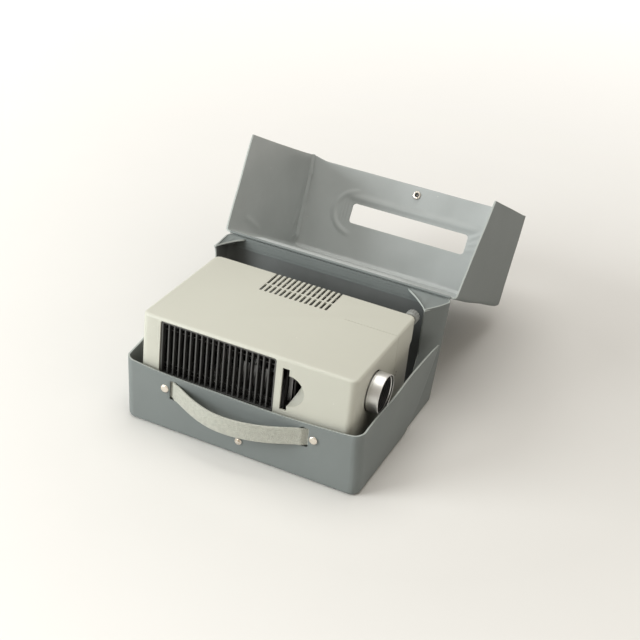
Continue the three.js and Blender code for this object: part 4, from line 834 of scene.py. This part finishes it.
def slit_cutter(side):
    middle = strap_centre + side * slit_half_span
    half = (slit_width + strap_thickness) / 2
    tall = strap_width / 2 + slit_play
    low = (middle - half, -3 * vinyl, strap_level - tall)
    high = (middle + half, 3 * vinyl, strap_level + tall)
    return moved(rounded_plate(1, low, high, vinyl), to_front_wall())


def back_shell():
    """Back wall and the two side returns."""
    half = half_width - back_gap
    foot = back_foot
    bend = mix(foot, case_top, bend_share)
    corner_y = half_depth - back_corner
    low = (-half, return_foot, foot)
    high = (half, half_depth, case_top)
    bm = box_mesh(low, high)
    round_edges(bm, lambda c: near(c.y, half_depth), back_corner, 6, 2)
    drop_faces(bm, lambda c: near(c.z, case_top))
    drop_faces(bm, lambda c: near(c.z, foot))
    drop_faces(bm, lambda c: near(c.y, return_foot))
    slice_block(bm, low, high, mesh_step)
    for v in bm.verts:
        x, y, z = v.co
        if y < corner_y:
            share = (corner_y - y) / (corner_y - return_foot)
            if z < bend:
                edge = mix(return_foot, return_bend, (z - foot) / (bend - foot))
            else:
                edge = mix(return_bend, return_top, (z - bend) / (case_top - bend))
            y = mix(corner_y, edge, share)
            up = ease((z - foot) / (bend - foot))
            lean = right_lean if x > 0 else left_lean
            x -= math.copysign(lean * up * share**1.3, x)
        x, y, z = flared(x, y, z)
        held = ease((x + half) / (30 * MM))
        v.co = (x, y + wobble((x, y, z), 70 * MM, 1 * MM) * held, z)
    finish_sheet(case_sheet("case_back", bm, vinyl_in_painted_shade), "case", ("case_back_shell",))


def corner_web(name, side, reach, lean):
    """The soft web that closes the corner between the hinge and the top of a side return."""
    half = half_width - back_gap
    corner_y = half_depth - back_corner
    tip = flared(side * (half - lean), return_top, case_top)
    edge = flared(side * half, corner_y, case_top)
    corner = flared(side * (half - back_corner * 0.3), half_depth - back_corner * 0.1, case_top)
    inner = flared(side * (half - reach), half_depth - vinyl / 2, case_top)
    middle = tip.lerp(inner, 0.5) + Vector((side * 7, -1, 0)) * MM
    turn = 0.84  # of the way along, where the shut edge goes round the corner
    bm = sheet_mesh(28, 24)
    for v in bm.verts:
        along = v.co.x + 0.5
        across = v.co.y + 0.5
        free = tip.lerp(middle, along).lerp(middle.lerp(inner, along), along)
        if along < turn:
            shut = tip.lerp(edge, along / turn)
        else:
            shut = edge.lerp(corner, (along - turn) / (1 - turn))
        spot = free.lerp(shut, across)
        dip = web_sag * math.sin(math.pi * along) * (1 - across) ** 0.7 * ease(across * 6)
        fold = ridge((across - along * 0.55) * 30 * MM, 4 * MM) * math.sin(math.pi * along)
        crease = ridge((across - 0.35 * (1 - along)) * 24 * MM, 1.6 * MM) * along
        v.co = spot + Vector((0, 0, web_fold * (fold - crease) - dip - web_under))
    weld(bm)
    face_along(bm, Vector((0, 0, 1)))
    finish_sheet(case_sheet(name, bm, vinyl_in_painted_shade), "case", edge=0.4 * MM)


def welded_hem():
    """The doubled band along the inside of the back wall's top, with its weld lines."""
    low = case_top - hem_depth
    half = half_width - back_gap - back_corner
    bm = box_mesh((-half, 0, low), (half, hem_thickness + vinyl / 2, case_top - TINY))
    lines = [low + 2.4 * MM, low + 4.4 * MM, case_top - 4 * MM]
    roll = case_top - 8 * MM
    for line in lines:
        cut_at(bm, 2, [line - weld_width / 2, line, line + weld_width / 2])
    slice_up(bm, 0, -half, half, 6 * MM)
    for v in bm.verts:
        x, y, z = v.co
        if y < TINY:
            y += weld_depth * any(near(z, line) for line in lines)
            y -= roll_depth * ridge(z - roll, 4 * MM)
            y += wobble((x, 0, z), 30 * MM, roll_depth)
        front = half_depth * (1 + flare_rate * z) - vinyl - hem_thickness
        v.co = (x, front + y, z)
    face_outwards(bm)
    hardware("case_hem", bm, vinyl_out, "case", angle=35)


# Lid
def to_lid():
    """From the closed lid's frame, with the hinge at the origin, to the open lid."""
    return Matrix.Translation((0, hinge_back, hinge_height)) @ Matrix.Rotation(-lid_open, 4, "X")


def creases(x, y, lines, depth, width):
    """The height of soft creases along lines that are given in millimetres."""
    height = 0
    for start, end in lines:
        away = past_line(x, y, [a * MM for a in start], [a * MM for a in end])
        height += depth * ridge(away, width)
    return height


def flap_relief(x, up):
    """How far the flap stands inwards at x, a height above its free edge."""
    under_slot = ridge(up - (handle_slot_up - 9 * MM), 4 * MM)
    folds = 1.6 * MM * under_slot * ease((105 * MM - abs(x)) / (18 * MM))
    ring_x = 10 * MM - handle_slot_length / 2
    ring_up = handle_slot_up + 14 * MM
    away = math.hypot(x - ring_x, (up - ring_up) * 1.15)
    folds += 1.4 * MM * ridge(away - 36 * MM, 3 * MM) * ease((ring_x - x) / (12 * MM))
    folds += creases(x, up, flap_creases, 0.7 * MM, 2 * MM)
    for line in flap_pleats:
        folds += 0.5 * MM * ridge(x - line * MM, 1.3 * MM) * ridge(up - ring_up, 14 * MM)
    billow = wobble((x, up, 0), 60 * MM, 1.4 * MM) + wobble((x, 0, up), 22 * MM, 0.2 * MM)
    held = ease((lid_half - abs(x)) / (20 * MM))
    return (folds + billow - flap_clearance) * held


def left_side_relief(away, up):
    """How far the left side stands inwards, away from the flap and up from its free edge."""
    pinch = 3.2 * MM * ridge(away - 9 * MM, 2.4 * MM)
    pinch += creases(away, up, side_creases, 1 * MM, 3 * MM)
    return pinch + wobble((away, up, 3), 75 * MM, 3.4 * MM) * ease(away / (30 * MM))


def lid_shell():
    """Top panel, flap and sides, one sheet drawn closed and then thrown open."""
    top = vinyl / 2
    low = top - flap_length
    bm = box_mesh((-lid_half, flap_outer, low), (lid_half, 0, top))
    round_edges(bm, lambda c: near(c.y, flap_outer), lid_corner, 5, 2)
    drop_faces(bm, lambda c: near(c.z, low))
    drop_faces(bm, lambda c: near(c.y, 0))
    corner_y = flap_outer + lid_corner

    def on_top_outline(c):
        return near(c.z, top) and (near(abs(c.x), lid_half) or c.y < corner_y + TINY)

    round_edges(bm, on_top_outline, lid_edge_round, 4)
    slice_up(bm, 0, -lid_half, lid_half, lid_mesh_step)
    slice_up(bm, 0, -112 * MM, -86 * MM, 1 * MM)
    slice_up(bm, 1, flap_outer, -24 * MM, 2 * lid_mesh_step)
    slice_up(bm, 1, -24 * MM, 0, 1 * MM)
    slice_up(bm, 2, low, top, lid_mesh_step)
    rear_end = -side_rear_length * math.cos(side_rear_angle)
    rear_low = -side_rear_length * math.sin(side_rear_angle)
    for v in bm.verts:
        x, y, z = v.co
        share = (z - low) / (top - low)
        on_flap = y < flap_outer + TINY
        on_side = near(abs(x), lid_half)
        if y > corner_y:
            back = (y - corner_y) / -corner_y
            edge = mix(rear_end, 0, clamp(share))
            y = mix(corner_y, edge, back)
            floor = mix(-side_front_depth, rear_low, back)
            z = mix(floor, top, share)
            if x < 0:
                x -= lid_left_splay * (1 - share) * back**1.5
        else:
            back = 0
        left = ease((lid_bulge_width - lid_half - v.co.x) / lid_bulge_width)
        loose = (clamp(1 - share) * clamp(1 - back)) ** 1.5 * left
        x -= lid_bulge * loose
        z -= lid_bulge * 0.5 * loose
        curl = clamp((lid_curl_width - lid_half - x) / lid_curl_width)
        y += lid_curl * curl * curl * (1 - ease((v.co.y - flap_outer) / lid_curl_width))
        if on_flap:
            y += flap_relief(x, z - low)
        elif on_side and x < 0:
            x += left_side_relief(y - flap_outer, z - low) * ease((1 - share) * 8)
        elif on_side:
            x += (0.8 * MM - wobble((y, z, 9), 60 * MM, 1 * MM)) * (1 - share)
        elif near(v.co.z, top):
            z += panel_relief(x, y)
        v.co = (x, y, z)
    face_outwards(bm)
    # The lid's inside takes a finish lightened as painted light.
    obj = case_sheet("case_lid", moved(bm, to_lid()), vinyl_lid_painted_light)
    carve(obj, [handle_slot_cutter()])
    finish_sheet(obj, "lid", ("lid_shell",))


def panel_relief(x, y):
    """How far the lid's top panel stands up, with its hump and weld lines along the hinge."""
    away = -y
    rise = max(0, away - 2.5 * MM) / (11 * MM)
    over_web = ease((x - 80 * MM) / (20 * MM)) + ease((-110 * MM - x) / (15 * MM))
    hump = -mix(3.6 * MM, 1 * MM, over_web) * rise**1.4 * math.exp(1.4 * (1 - rise))
    welds = 0
    for line, depth in panel_welds:
        welds += depth * MM * ridge(away - line * MM, 1 * MM)
    billow = (wobble((x, y, 5), 70 * MM, 1.6 * MM) + 1.2 * MM) * ease(away / (60 * MM))
    held = ease((lid_half - abs(x)) / (14 * MM))
    return (hump + welds + billow) * held


def lid_roll():
    """The round fold of vinyl on the hinge line."""
    half = lid_half - lid_corner
    r = hinge_roll
    profile = [(-half, 0), (-half, r * 0.7), (-half + r * 0.3, r)]
    profile += [(half - r * 0.3, r), (half, r * 0.7), (half, 0)]
    bm = turned_mesh(profile, (0, hinge_back, hinge_height), "X", 20)
    hardware("lid_roll", bm, vinyl_out, "lid")


def handle_slot_cutter():
    low = vinyl / 2 - flap_length + handle_slot_up
    half = handle_slot_length / 2
    past = 5 * vinyl
    corner_low = (-half, flap_outer - past, low)
    corner_high = (half, flap_outer + past, low + handle_slot_height)
    return moved(rounded_plate(1, corner_low, corner_high, handle_slot_corner), to_lid())


# Strap
def strap_line(x):
    """How far the strap's middle stands in front of the wall at x, which is negative outside."""
    inside = vinyl * (1 + flare_rate * strap_level) + strap_thickness / 2 + 0.6 * MM
    outside = -0.3 * MM - strap_thickness / 2
    cross = slit_width / 2
    away = abs(x)
    if away >= slit_half_span + cross:
        return inside
    if away >= slit_half_span - cross:
        return mix(inside, outside, ease((slit_half_span + cross - away) / slit_width))
    half = slit_half_span - cross
    peak = strap_peak_share * half
    t = (x - peak) / (half + peak if x < peak else half - peak)
    return outside - strap_bow * (1 - t * t) ** 1.15


def strap():
    end = rivet_half_span + strap_tail
    bm = sheet_mesh(150, 10)
    for v in bm.verts:
        x = v.co.x * 2 * end
        up = v.co.y * strap_width
        y = strap_line(x)
        out = max(0, -y - strap_thickness) / strap_bow
        v.co = (strap_centre + x, y - strap_thickness / 2, strap_level + up - strap_sag * out)
    face_along(bm, Vector((0, -1, 0)))
    obj = mesh_object("strap", moved(bm, to_front_wall()), strap_finish)
    thicken(obj, strap_thickness)
    soften(obj, 0.6 * MM, 3)
    shade(obj)
    place_piece(obj, "case", ("handle_strap",))
    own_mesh(obj)


def rivet(side, name, node):
    """A domed rivet head outside and its washer inside, at one end of the strap."""
    head = rivet_head / MM
    shank = rivet_shank / MM
    inside = rivet_inside / MM
    profile = [(-2.0, 0), (-2.0, head - 2.4), (-1.9, head - 1.4), (-1.5, head - 0.5)]
    profile += [(-1.0, head - 0.1), (-0.6, head), (-0.3, head - 0.2), (-0.3, shank)]
    profile += [(inside, shank), (inside, head - 0.4), (inside + 0.6, head - 0.3)]
    profile += [(inside + 1.0, head - 1), (inside + 1.0, 0)]
    place = (strap_centre + side * rivet_half_span, 0, strap_level)
    bm = moved(turned_mesh(in_mm(profile), place, "Y", 48), to_front_wall())
    hardware(name, bm, nickel, "case", (node,))


def snap_stud():
    """The stud on the front wall: a rolled flange, a neck and a round head."""
    profile = [(-3.4, 0), (-3.4, 1.4), (-3.1, 2.2), (-2.6, 2.6), (-2.1, 2.4), (-1.8, 2.0), (-1.0, 2.1)]
    profile += [(-0.8, 2.9), (-1.3, 3.5), (-1.2, 4.1), (-0.6, 4.6), (-0.3, 4.4), (-0.3, 1.6)]
    profile += [(2.4, 1.6), (2.4, 4.5), (3.2, 4.2), (3.2, 0)]
    bm = moved(turned_mesh(in_mm(profile), (0, 0, stud_level), "Y", 48), to_front_wall())
    hardware("snap_stud_cap", bm, nickel, "case", ("snap_stud",))


def snap_socket():
    """The socket through the flap: a cap outside, and inside a rolled ring round its hole."""
    cap = flap_outer / MM - 0.3
    face = (flap_outer + vinyl) / MM + 0.3
    profile = [(cap - 0.9, 0), (cap - 0.9, 4.4), (cap - 0.5, 5.4), (cap, 5.5), (cap, 2.8), (face, 2.8)]
    profile += [(face, 5.4), (face + 0.6, 5.6), (face + 1.2, 5.0), (face + 1.25, 3.9), (face + 0.8, 3.1)]
    profile += [(face, 2.7), (face - 0.9, 2.3), (face - 1.1, 0)]
    place = (stud_level + snap_pull) * math.cos(wall_tilt) - hinge_height
    bm = moved(turned_mesh(in_mm(profile), (0, 0, place), "Y", 48), to_lid())
    ring = hardware("snap_ring", bm, nickel, "lid", ("lid_snap_socket",))
    ring.data.materials.append(black_metal)
    axis = to_lid() @ Vector((0, 0, place))
    along = to_lid().to_3x3() @ Vector((0, 1, 0))
    for face in ring.data.polygons:
        away = face.center - axis
        if (away - along * away.dot(along)).length < snap_bore:
            face.material_index = 1


# Projector housing
def housing_outer():
    bm = rounded_plate(2, body_low, body_high, housing_corner, 8)
    round_edges(bm, lambda c: near(c.z, body_high.z), housing_top_edge, 5)
    return bm


def vent_cutters():
    """The two rows of slots in the vent comb. The rear row runs out through the lip."""
    start = body_low.y + vent_front_start
    end = start + vent_front_length
    top = body_high.z + 2 * MM
    front_row = (start, end, top - 9 * MM)
    rear_row = (end + vent_rib, body_high.y + 5 * MM, body_high.z - vent_drop)
    radius = vent_width / 2 - TINY
    rows = []
    for y0, y1, low in (front_row, rear_row):
        row = []
        for i in range(vent_count):
            x = body_low.x + vent_left + i * vent_pitch
            row.append(rounded_plate(2, (x, y0, low), (x + vent_width, y1, top), radius, 4))
        rows.append(joined(*row))
    return rows


def seam_cutters():
    """The fine joint that runs over the right part of the top and down the right side."""
    y = body_low.y + seam_back
    past = 2 * MM
    end = (body_high.x + past, y + seam_width, body_high.z + past)
    over = box_mesh((body_low.x + seam_left, y, body_high.z - seam_depth), end)
    down = box_mesh((body_high.x - seam_depth, y, body_low.z + past), end)
    return [over, down]


def round_hole(place, radius, depth, axis):
    return turned_mesh([(0, 0), (0, radius), (depth, radius), (depth, 0)], place, axis, 64)


def housing():
    obj = mesh_object("projector_shell", housing_outer(), housing_finish)
    low, high = body_low, body_high
    past = 5 * MM
    w = housing_wall
    rear = high.y - lip_reach
    lip_low = high.z - lip_height
    lip_foot = lip_low - lip_reach
    behind = [(rear, low.z - past), (rear, lip_foot), (high.y, lip_low)]
    behind += [(high.y + past, lip_low), (high.y + past, low.z - past)]
    step = tray_step
    under = [(low.y - past, low.z - past), (low.y + step, low.z - past)]
    under += [(low.y + step, tray_step_top - step), (low.y, tray_step_top)]
    under += [(low.y - past, tray_step_top)]
    start = low.x - past
    length = (high.x + past - start, 0, 0)
    carve(obj, [prism([(start, y, z) for y, z in side], length) for side in (behind, under)])
    inner_low = (low.x + w, low.y + w + step, low.z - past)
    head_low = (low.x + w, low.y + w, tray_step_top)
    inner = rounded_plate(2, inner_low, (high.x - w, rear - w, high.z - w), housing_corner - w)
    head = rounded_plate(2, head_low, (high.x - w, high.y - w, high.z - w), housing_corner - w)
    # Painted shade: the hollowed inner faces take the dark inside finish.
    carve(obj, [inner, head], finish=inside_painted_shade)
    gap = grille_gap
    hole_low = (grille_low.x - gap, low.y - past, grille_low.z - gap)
    hole_high = (grille_high.x + gap, low.y + 2 * w, grille_high.z + gap)
    grille_hole = rounded_plate(1, hole_low, hole_high, grille_corner)
    slot_x = low.x + slot_left
    slot_low = (slot_x, low.y - past, lens_z - slot_height / 2)
    slot_high = (slot_x + slot_width, low.y + 3 * w, lens_z + slot_height / 2)
    slot = box_mesh(slot_low, slot_high)
    lens_hole = round_hole((high.x - 10 * MM, lens_y, lens_z), ring_radius + ring_gap, 20 * MM, "X")
    knob_hole = round_hole((knob_x, high.y - 2 * w, knob_z), bush_hole, 20 * MM, "Y")
    recess = finger_round(slot_x + slot_width)
    carve(obj, [grille_hole, slot, lens_hole, knob_hole, recess, *vent_cutters(), *seam_cutters()])
    # Painted shade: the dish wall takes the darker copy of the housing's plastic.
    carve(obj, [finger_wall(slot_x + slot_width)], "UNION", dish_painted_shade)
    soften(obj, 0.35 * MM, 2, 35)
    shade(obj, 40)
    place_piece(obj, "projector", ("housing",))


def finger_round(x):
    """The half-round finger recess to the right of the slide slot."""
    place = (x, body_low.y - 5 * MM, lens_z - scoop_drop)
    bm = round_hole(place, scoop_radius, 5 * MM + housing_wall + 1 * MM, "Y")
    left = {"plane_co": (x - 1 * MM, 0, 0), "plane_no": (-1, 0, 0), "clear_outer": True}
    bmesh.ops.bisect_plane(bm, geom=all_of(bm), dist=TINY, **left)
    bmesh.ops.holes_fill(bm, edges=bm.edges, sides=0)
    face_outwards(bm)
    return bm


def finger_wall(x):
    """The dished wall behind the finger recess, open towards the slot on its upper left."""
    z = lens_z - scoop_drop
    inner = math.hypot(scoop_radius, scoop_bulge)
    reach = inner + scoop_wall
    centre = Vector((x, body_low.y - scoop_bulge, z))

    def ball(radius):
        bm = bmesh.new()
        bmesh.ops.create_uvsphere(bm, u_segments=72, v_segments=48, radius=radius)
        bmesh.ops.translate(bm, vec=centre, verts=bm.verts)
        return bm

    run = slot_height * scoop_slope_share
    sill_x = x + 0.3 * MM
    outline = [(sill_x, z - scoop_radius), (sill_x, z - scoop_radius - scoop_wall)]
    outline += [(x + reach, z - reach), (x + reach, z + run)]
    outline += [(x + scoop_radius * 0.79, z + scoop_radius * 0.63)]
    sill = body_low.y + housing_wall / 2
    keep = prism([(a, sill, b) for a, b in outline], (0, reach, 0))
    obj = mesh_object("dish", ball(reach))
    carve(obj, [ball(inner)])
    carve(obj, [keep], "INTERSECT")
    bm = bmesh.new()
    bm.from_mesh(obj.data)
    bpy.data.objects.remove(obj)
    return bm


def grille():
    """The louvred front grille, its moulded edges slightly rounded."""
    bm = bmesh.new()
    bm.from_mesh(nodes["grille"].data)
    weld(bm)
    bmesh.ops.dissolve_limit(bm, angle_limit=math.radians(1), verts=bm.verts, edges=bm.edges)
    obj = mesh_object("front_grille", bm, grille_finish)
    soften(obj, 0.22 * MM, 2)
    shade(obj)
    place_piece(obj, "projector", ("grille",))


def index_dots():
    """Two small paint dots beside the lens ring."""
    profile = in_mm([(-0.2, 0), (-0.2, 0.9), (0.06, 0.9), (0.12, 0.6), (0.12, 0)])
    for name, y, z in (("index_dot_upper", 11.7, 91.5), ("index_dot_lower", 9.5, 88.2)):
        bm = turned_mesh(profile, (body_high.x, y * MM, z * MM), "X", 20)
        hardware(name, bm, black_finish, "projector")


def focus_knob():
    """The fluted knob on the rear right corner."""
    end = (knob_high.y - knob_low.y) / MM
    r = knob_radius / MM
    profile = [(0, 0), (0, r - 1), (0.4, r - 0.3), (1.2, r), (2.4, r), (3.0, r - 0.02)]
    profile += [(end - 1.4, r - 0.02), (end - 0.6, r - 0.5), (end - 0.1, r - 1.3), (end, r - 2.4)]
    profile += [(end - 0.3, 0)]
    bm = turned_mesh(in_mm(profile), (knob_x, knob_low.y, knob_z), "Y", 12 * knob_flutes)
    for v in bm.verts:
        out = Vector((v.co.x - knob_x, 0, v.co.z - knob_z))
        if v.co.y > knob_low.y + 2.7 * MM and out.length > knob_radius - 1.5 * MM:
            turn = math.atan2(out.z, out.x)
            dent = knob_flute_depth * (0.5 + 0.5 * math.cos(knob_flutes * turn)) ** 3
            v.co -= out.normalized() * dent
    hardware("focus_knob_cap", bm, knob_finish, "focus_drive", ("focus_knob",), 50)


# Lens ring
def lens_ring():
    """The bright turned ring, a thin sleeve over the barrel's front."""
    r = ring_radius / MM
    back = ring_back / MM
    front = ring_front / MM + 0.05
    mouth = hood_mouth / MM
    profile = [(back, r - 3), (back, r - 0.5), (back + 0.4, r), (back + 1.5, r), (back + 1.7, r - 0.12)]
    profile += [(back + 2.0, r - 0.12), (back + 2.2, r), (front - 0.9, r), (front - 0.35, r - 0.2)]
    profile += [(front, r - 0.6), (front - 0.05, mouth + 0.1), (front - 1.4, mouth - 0.2)]
    profile += [(front - 3, r - 3), (back, r - 3)]
    bm = turned_mesh(in_mm(profile), (0, lens_y, lens_z), "X", 128)
    hardware("lens_ring", bm, lens_metal, "lens")


def lens_hood():
    """The black ribbed cone inside the ring, stepped down to the front glass."""
    low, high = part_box("lens_cone")
    mouth_x = high.x - 0.5 * MM
    throat_x = low.x + 1 * MM
    profile = [(mouth_x, hood_mouth)]
    for i in range(hood_ribs):
        x = mix(mouth_x - 0.6 * MM, throat_x, i / hood_ribs)
        following = mix(mouth_x - 0.6 * MM, throat_x, (i + 1) / hood_ribs)
        r = mix(hood_mouth - 0.9 * MM, hood_throat, i / (hood_ribs - 1))
        profile += [(x, r + 0.5 * MM), (x + 0.15 * MM, r + 0.15 * MM), (x - 0.1 * MM, r), (following, r)]
    behind = hood_throat + 2 * MM
    profile += [(throat_x, hood_throat), (low.x, hood_throat), (low.x, behind), (throat_x, behind)]
    profile += [(mouth_x - 1 * MM, hood_mouth + 0.15 * MM), (mouth_x, hood_mouth)]
    bm = turned_mesh(profile, (0, lens_y, lens_z), "X", 128)
    hardware("lens_hood", bm, hood_finish, "lens", ("lens_cone",))


def front_glass():
    low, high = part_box("front_lens_element")
    radius = (high.z - low.z) / 2
    edge = 3 * MM
    crown = high.x - low.x - edge
    profile = [(low.x, 0), (low.x, radius - 0.2 * MM), (low.x + 0.2 * MM, radius)]
    dome = 16
    for i in range(dome + 1):
        r = radius * (1 - i / dome)
        profile.append((low.x + edge + crown * (1 - (r / radius) ** 2), r))
    bm = turned_mesh(profile, (0, lens_y, lens_z), "X", 96)
    hardware("front_glass", bm, glass, "lens", ("front_lens_element",))


def dress_nodes():
    """Every CAD node that stays gets the finish of its slot."""
    for part in frame["record"]["subparts"]:
        obj = nodes[part["node"]]
        obj.data.materials.clear()
        obj.data.materials.append(finish_of_slot[part["material_slot"]])


# Floor, light and camera
floor_half = 8
# Painted light: beyond pale_start the floor glows for camera, glossy and transmission rays, most at
# pale_end, so that it pales away from the case.
pale_start = 0.35  # where the floor starts to pale, and where it is palest
pale_end = 3.0
world_light = 0.3
world_seen = 0.67  # added where the world is seen itself
world_mirrored = 0.25  # added where it is mirrored


def stage():
    bm = bmesh.new()
    bmesh.ops.create_grid(bm, x_segments=1, y_segments=1, size=floor_half)
    material, tree, shader, where = new_material("Pale floor")
    colours = worn_colour(tree, where, (0.765, 0.755, 0.73), 0.03, 0.5, 0)
    tree.links.new(colours["Colour"], shader.inputs["Base Color"])
    shader.inputs["Roughness"].default_value = 0.7
    # Painted light: a glow seen by camera, glossy and transmission rays only, rising with distance from
    # the case.
    away = put(tree, "VectorMath", {0: where, 1: (0.1, 0.1, 0)}, operation="DISTANCE").outputs["Value"]
    far = put(tree, "MapRange", {0: away, 1: pale_start, 2: pale_end, 3: 0, 4: 0.95})
    ray = put(tree, "LightPath").outputs
    seen = calc(tree, "MAXIMUM", ray["Is Camera Ray"], ray["Is Glossy Ray"])
    seen = calc(tree, "MAXIMUM", seen, ray["Is Transmission Ray"])
    shader.inputs["Emission Color"].default_value = (1, 0.99, 0.97, 1)
    tree.links.new(calc(tree, "MULTIPLY", far.outputs[0], seen), shader.inputs["Emission Strength"])
    mesh_object("floor", bm, material)
    world = bpy.data.worlds.new("studio")
    world.use_nodes = True
    tree = world.node_tree
    background = tree.nodes["Background"]
    background.inputs["Color"].default_value = (1.0, 0.94, 0.86, 1)
    ray = put(tree, "LightPath").outputs
    behind = calc(tree, "MAXIMUM", ray["Is Camera Ray"], ray["Is Transmission Ray"])
    mirrored = calc(tree, "MULTIPLY", ray["Is Glossy Ray"], world_mirrored)
    pale = calc(tree, "MULTIPLY_ADD", behind, world_seen, mirrored)
    tree.links.new(calc(tree, "ADD", pale, world_light), background.inputs["Strength"])
    bpy.context.scene.world = world
    # Place and size in metres, power in watts
    lamp("key", (-1.8, -1.65, 1.0), 1.7, 63, (0.97, 1.0, 1.0))
    lamp("top", (-0.2, 0.3, 2.5), 2.4, 38, (1.0, 0.99, 0.96))
    lamp("fill", (1.7, -0.8, 2.1), 2.2, 8, (1.0, 0.92, 0.8))


def lamp(name, place, size, power, colour):
    data = bpy.data.lights.new(name, "AREA")
    data.shape = "DISK"
    data.size = size
    data.energy = power
    data.color = colour
    obj = place_object(name, data)
    obj.location = place
    aim = Vector((0, 0.1, 0.1)) - Vector(place)
    obj.rotation_euler = aim.to_track_quat("-Z", "Y").to_euler()


def camera():
    photo_side = 640  # pixels
    focal_pixels = 1331.3
    azimuth, elevation, roll = (math.radians(a) for a in (21.954, 29.492, 6.411))
    stand = Vector((539.4, -1251.7, 897.7)) * MM
    level = math.cos(elevation)
    back = Vector((math.sin(azimuth) * level, -math.cos(azimuth) * level, math.sin(elevation)))
    right = (-back).cross(Vector((0, 0, 1))).normalized()
    up = right.cross(-back)
    across = math.cos(roll) * right + math.sin(roll) * up
    above = -math.sin(roll) * right + math.cos(roll) * up
    data = bpy.data.cameras.new("camera")
    data.sensor_width = 36
    data.lens = focal_pixels * data.sensor_width / photo_side
    obj = place_object("camera", data)
    turn = Matrix((across, above, back)).transposed().to_4x4()
    obj.matrix_world = Matrix.Translation(stand) @ turn
    bpy.context.scene.camera = obj


camera()
dress_nodes()
case_tray()
back_shell()
corner_web("corner_web_right", 1, web_reach_right, right_lean)
corner_web("corner_web_left", -1, web_reach_left, left_lean)
welded_hem()
lid_shell()
lid_roll()
strap()
rivet(-1, "rivet_left", "handle_rivet_left")
rivet(1, "rivet_right", "handle_rivet_right")
snap_stud()
snap_socket()
housing()
grille()
index_dots()
focus_knob()
lens_ring()
lens_hood()
front_glass()
stage()
bpy.context.scene.view_settings.view_transform = "Standard"
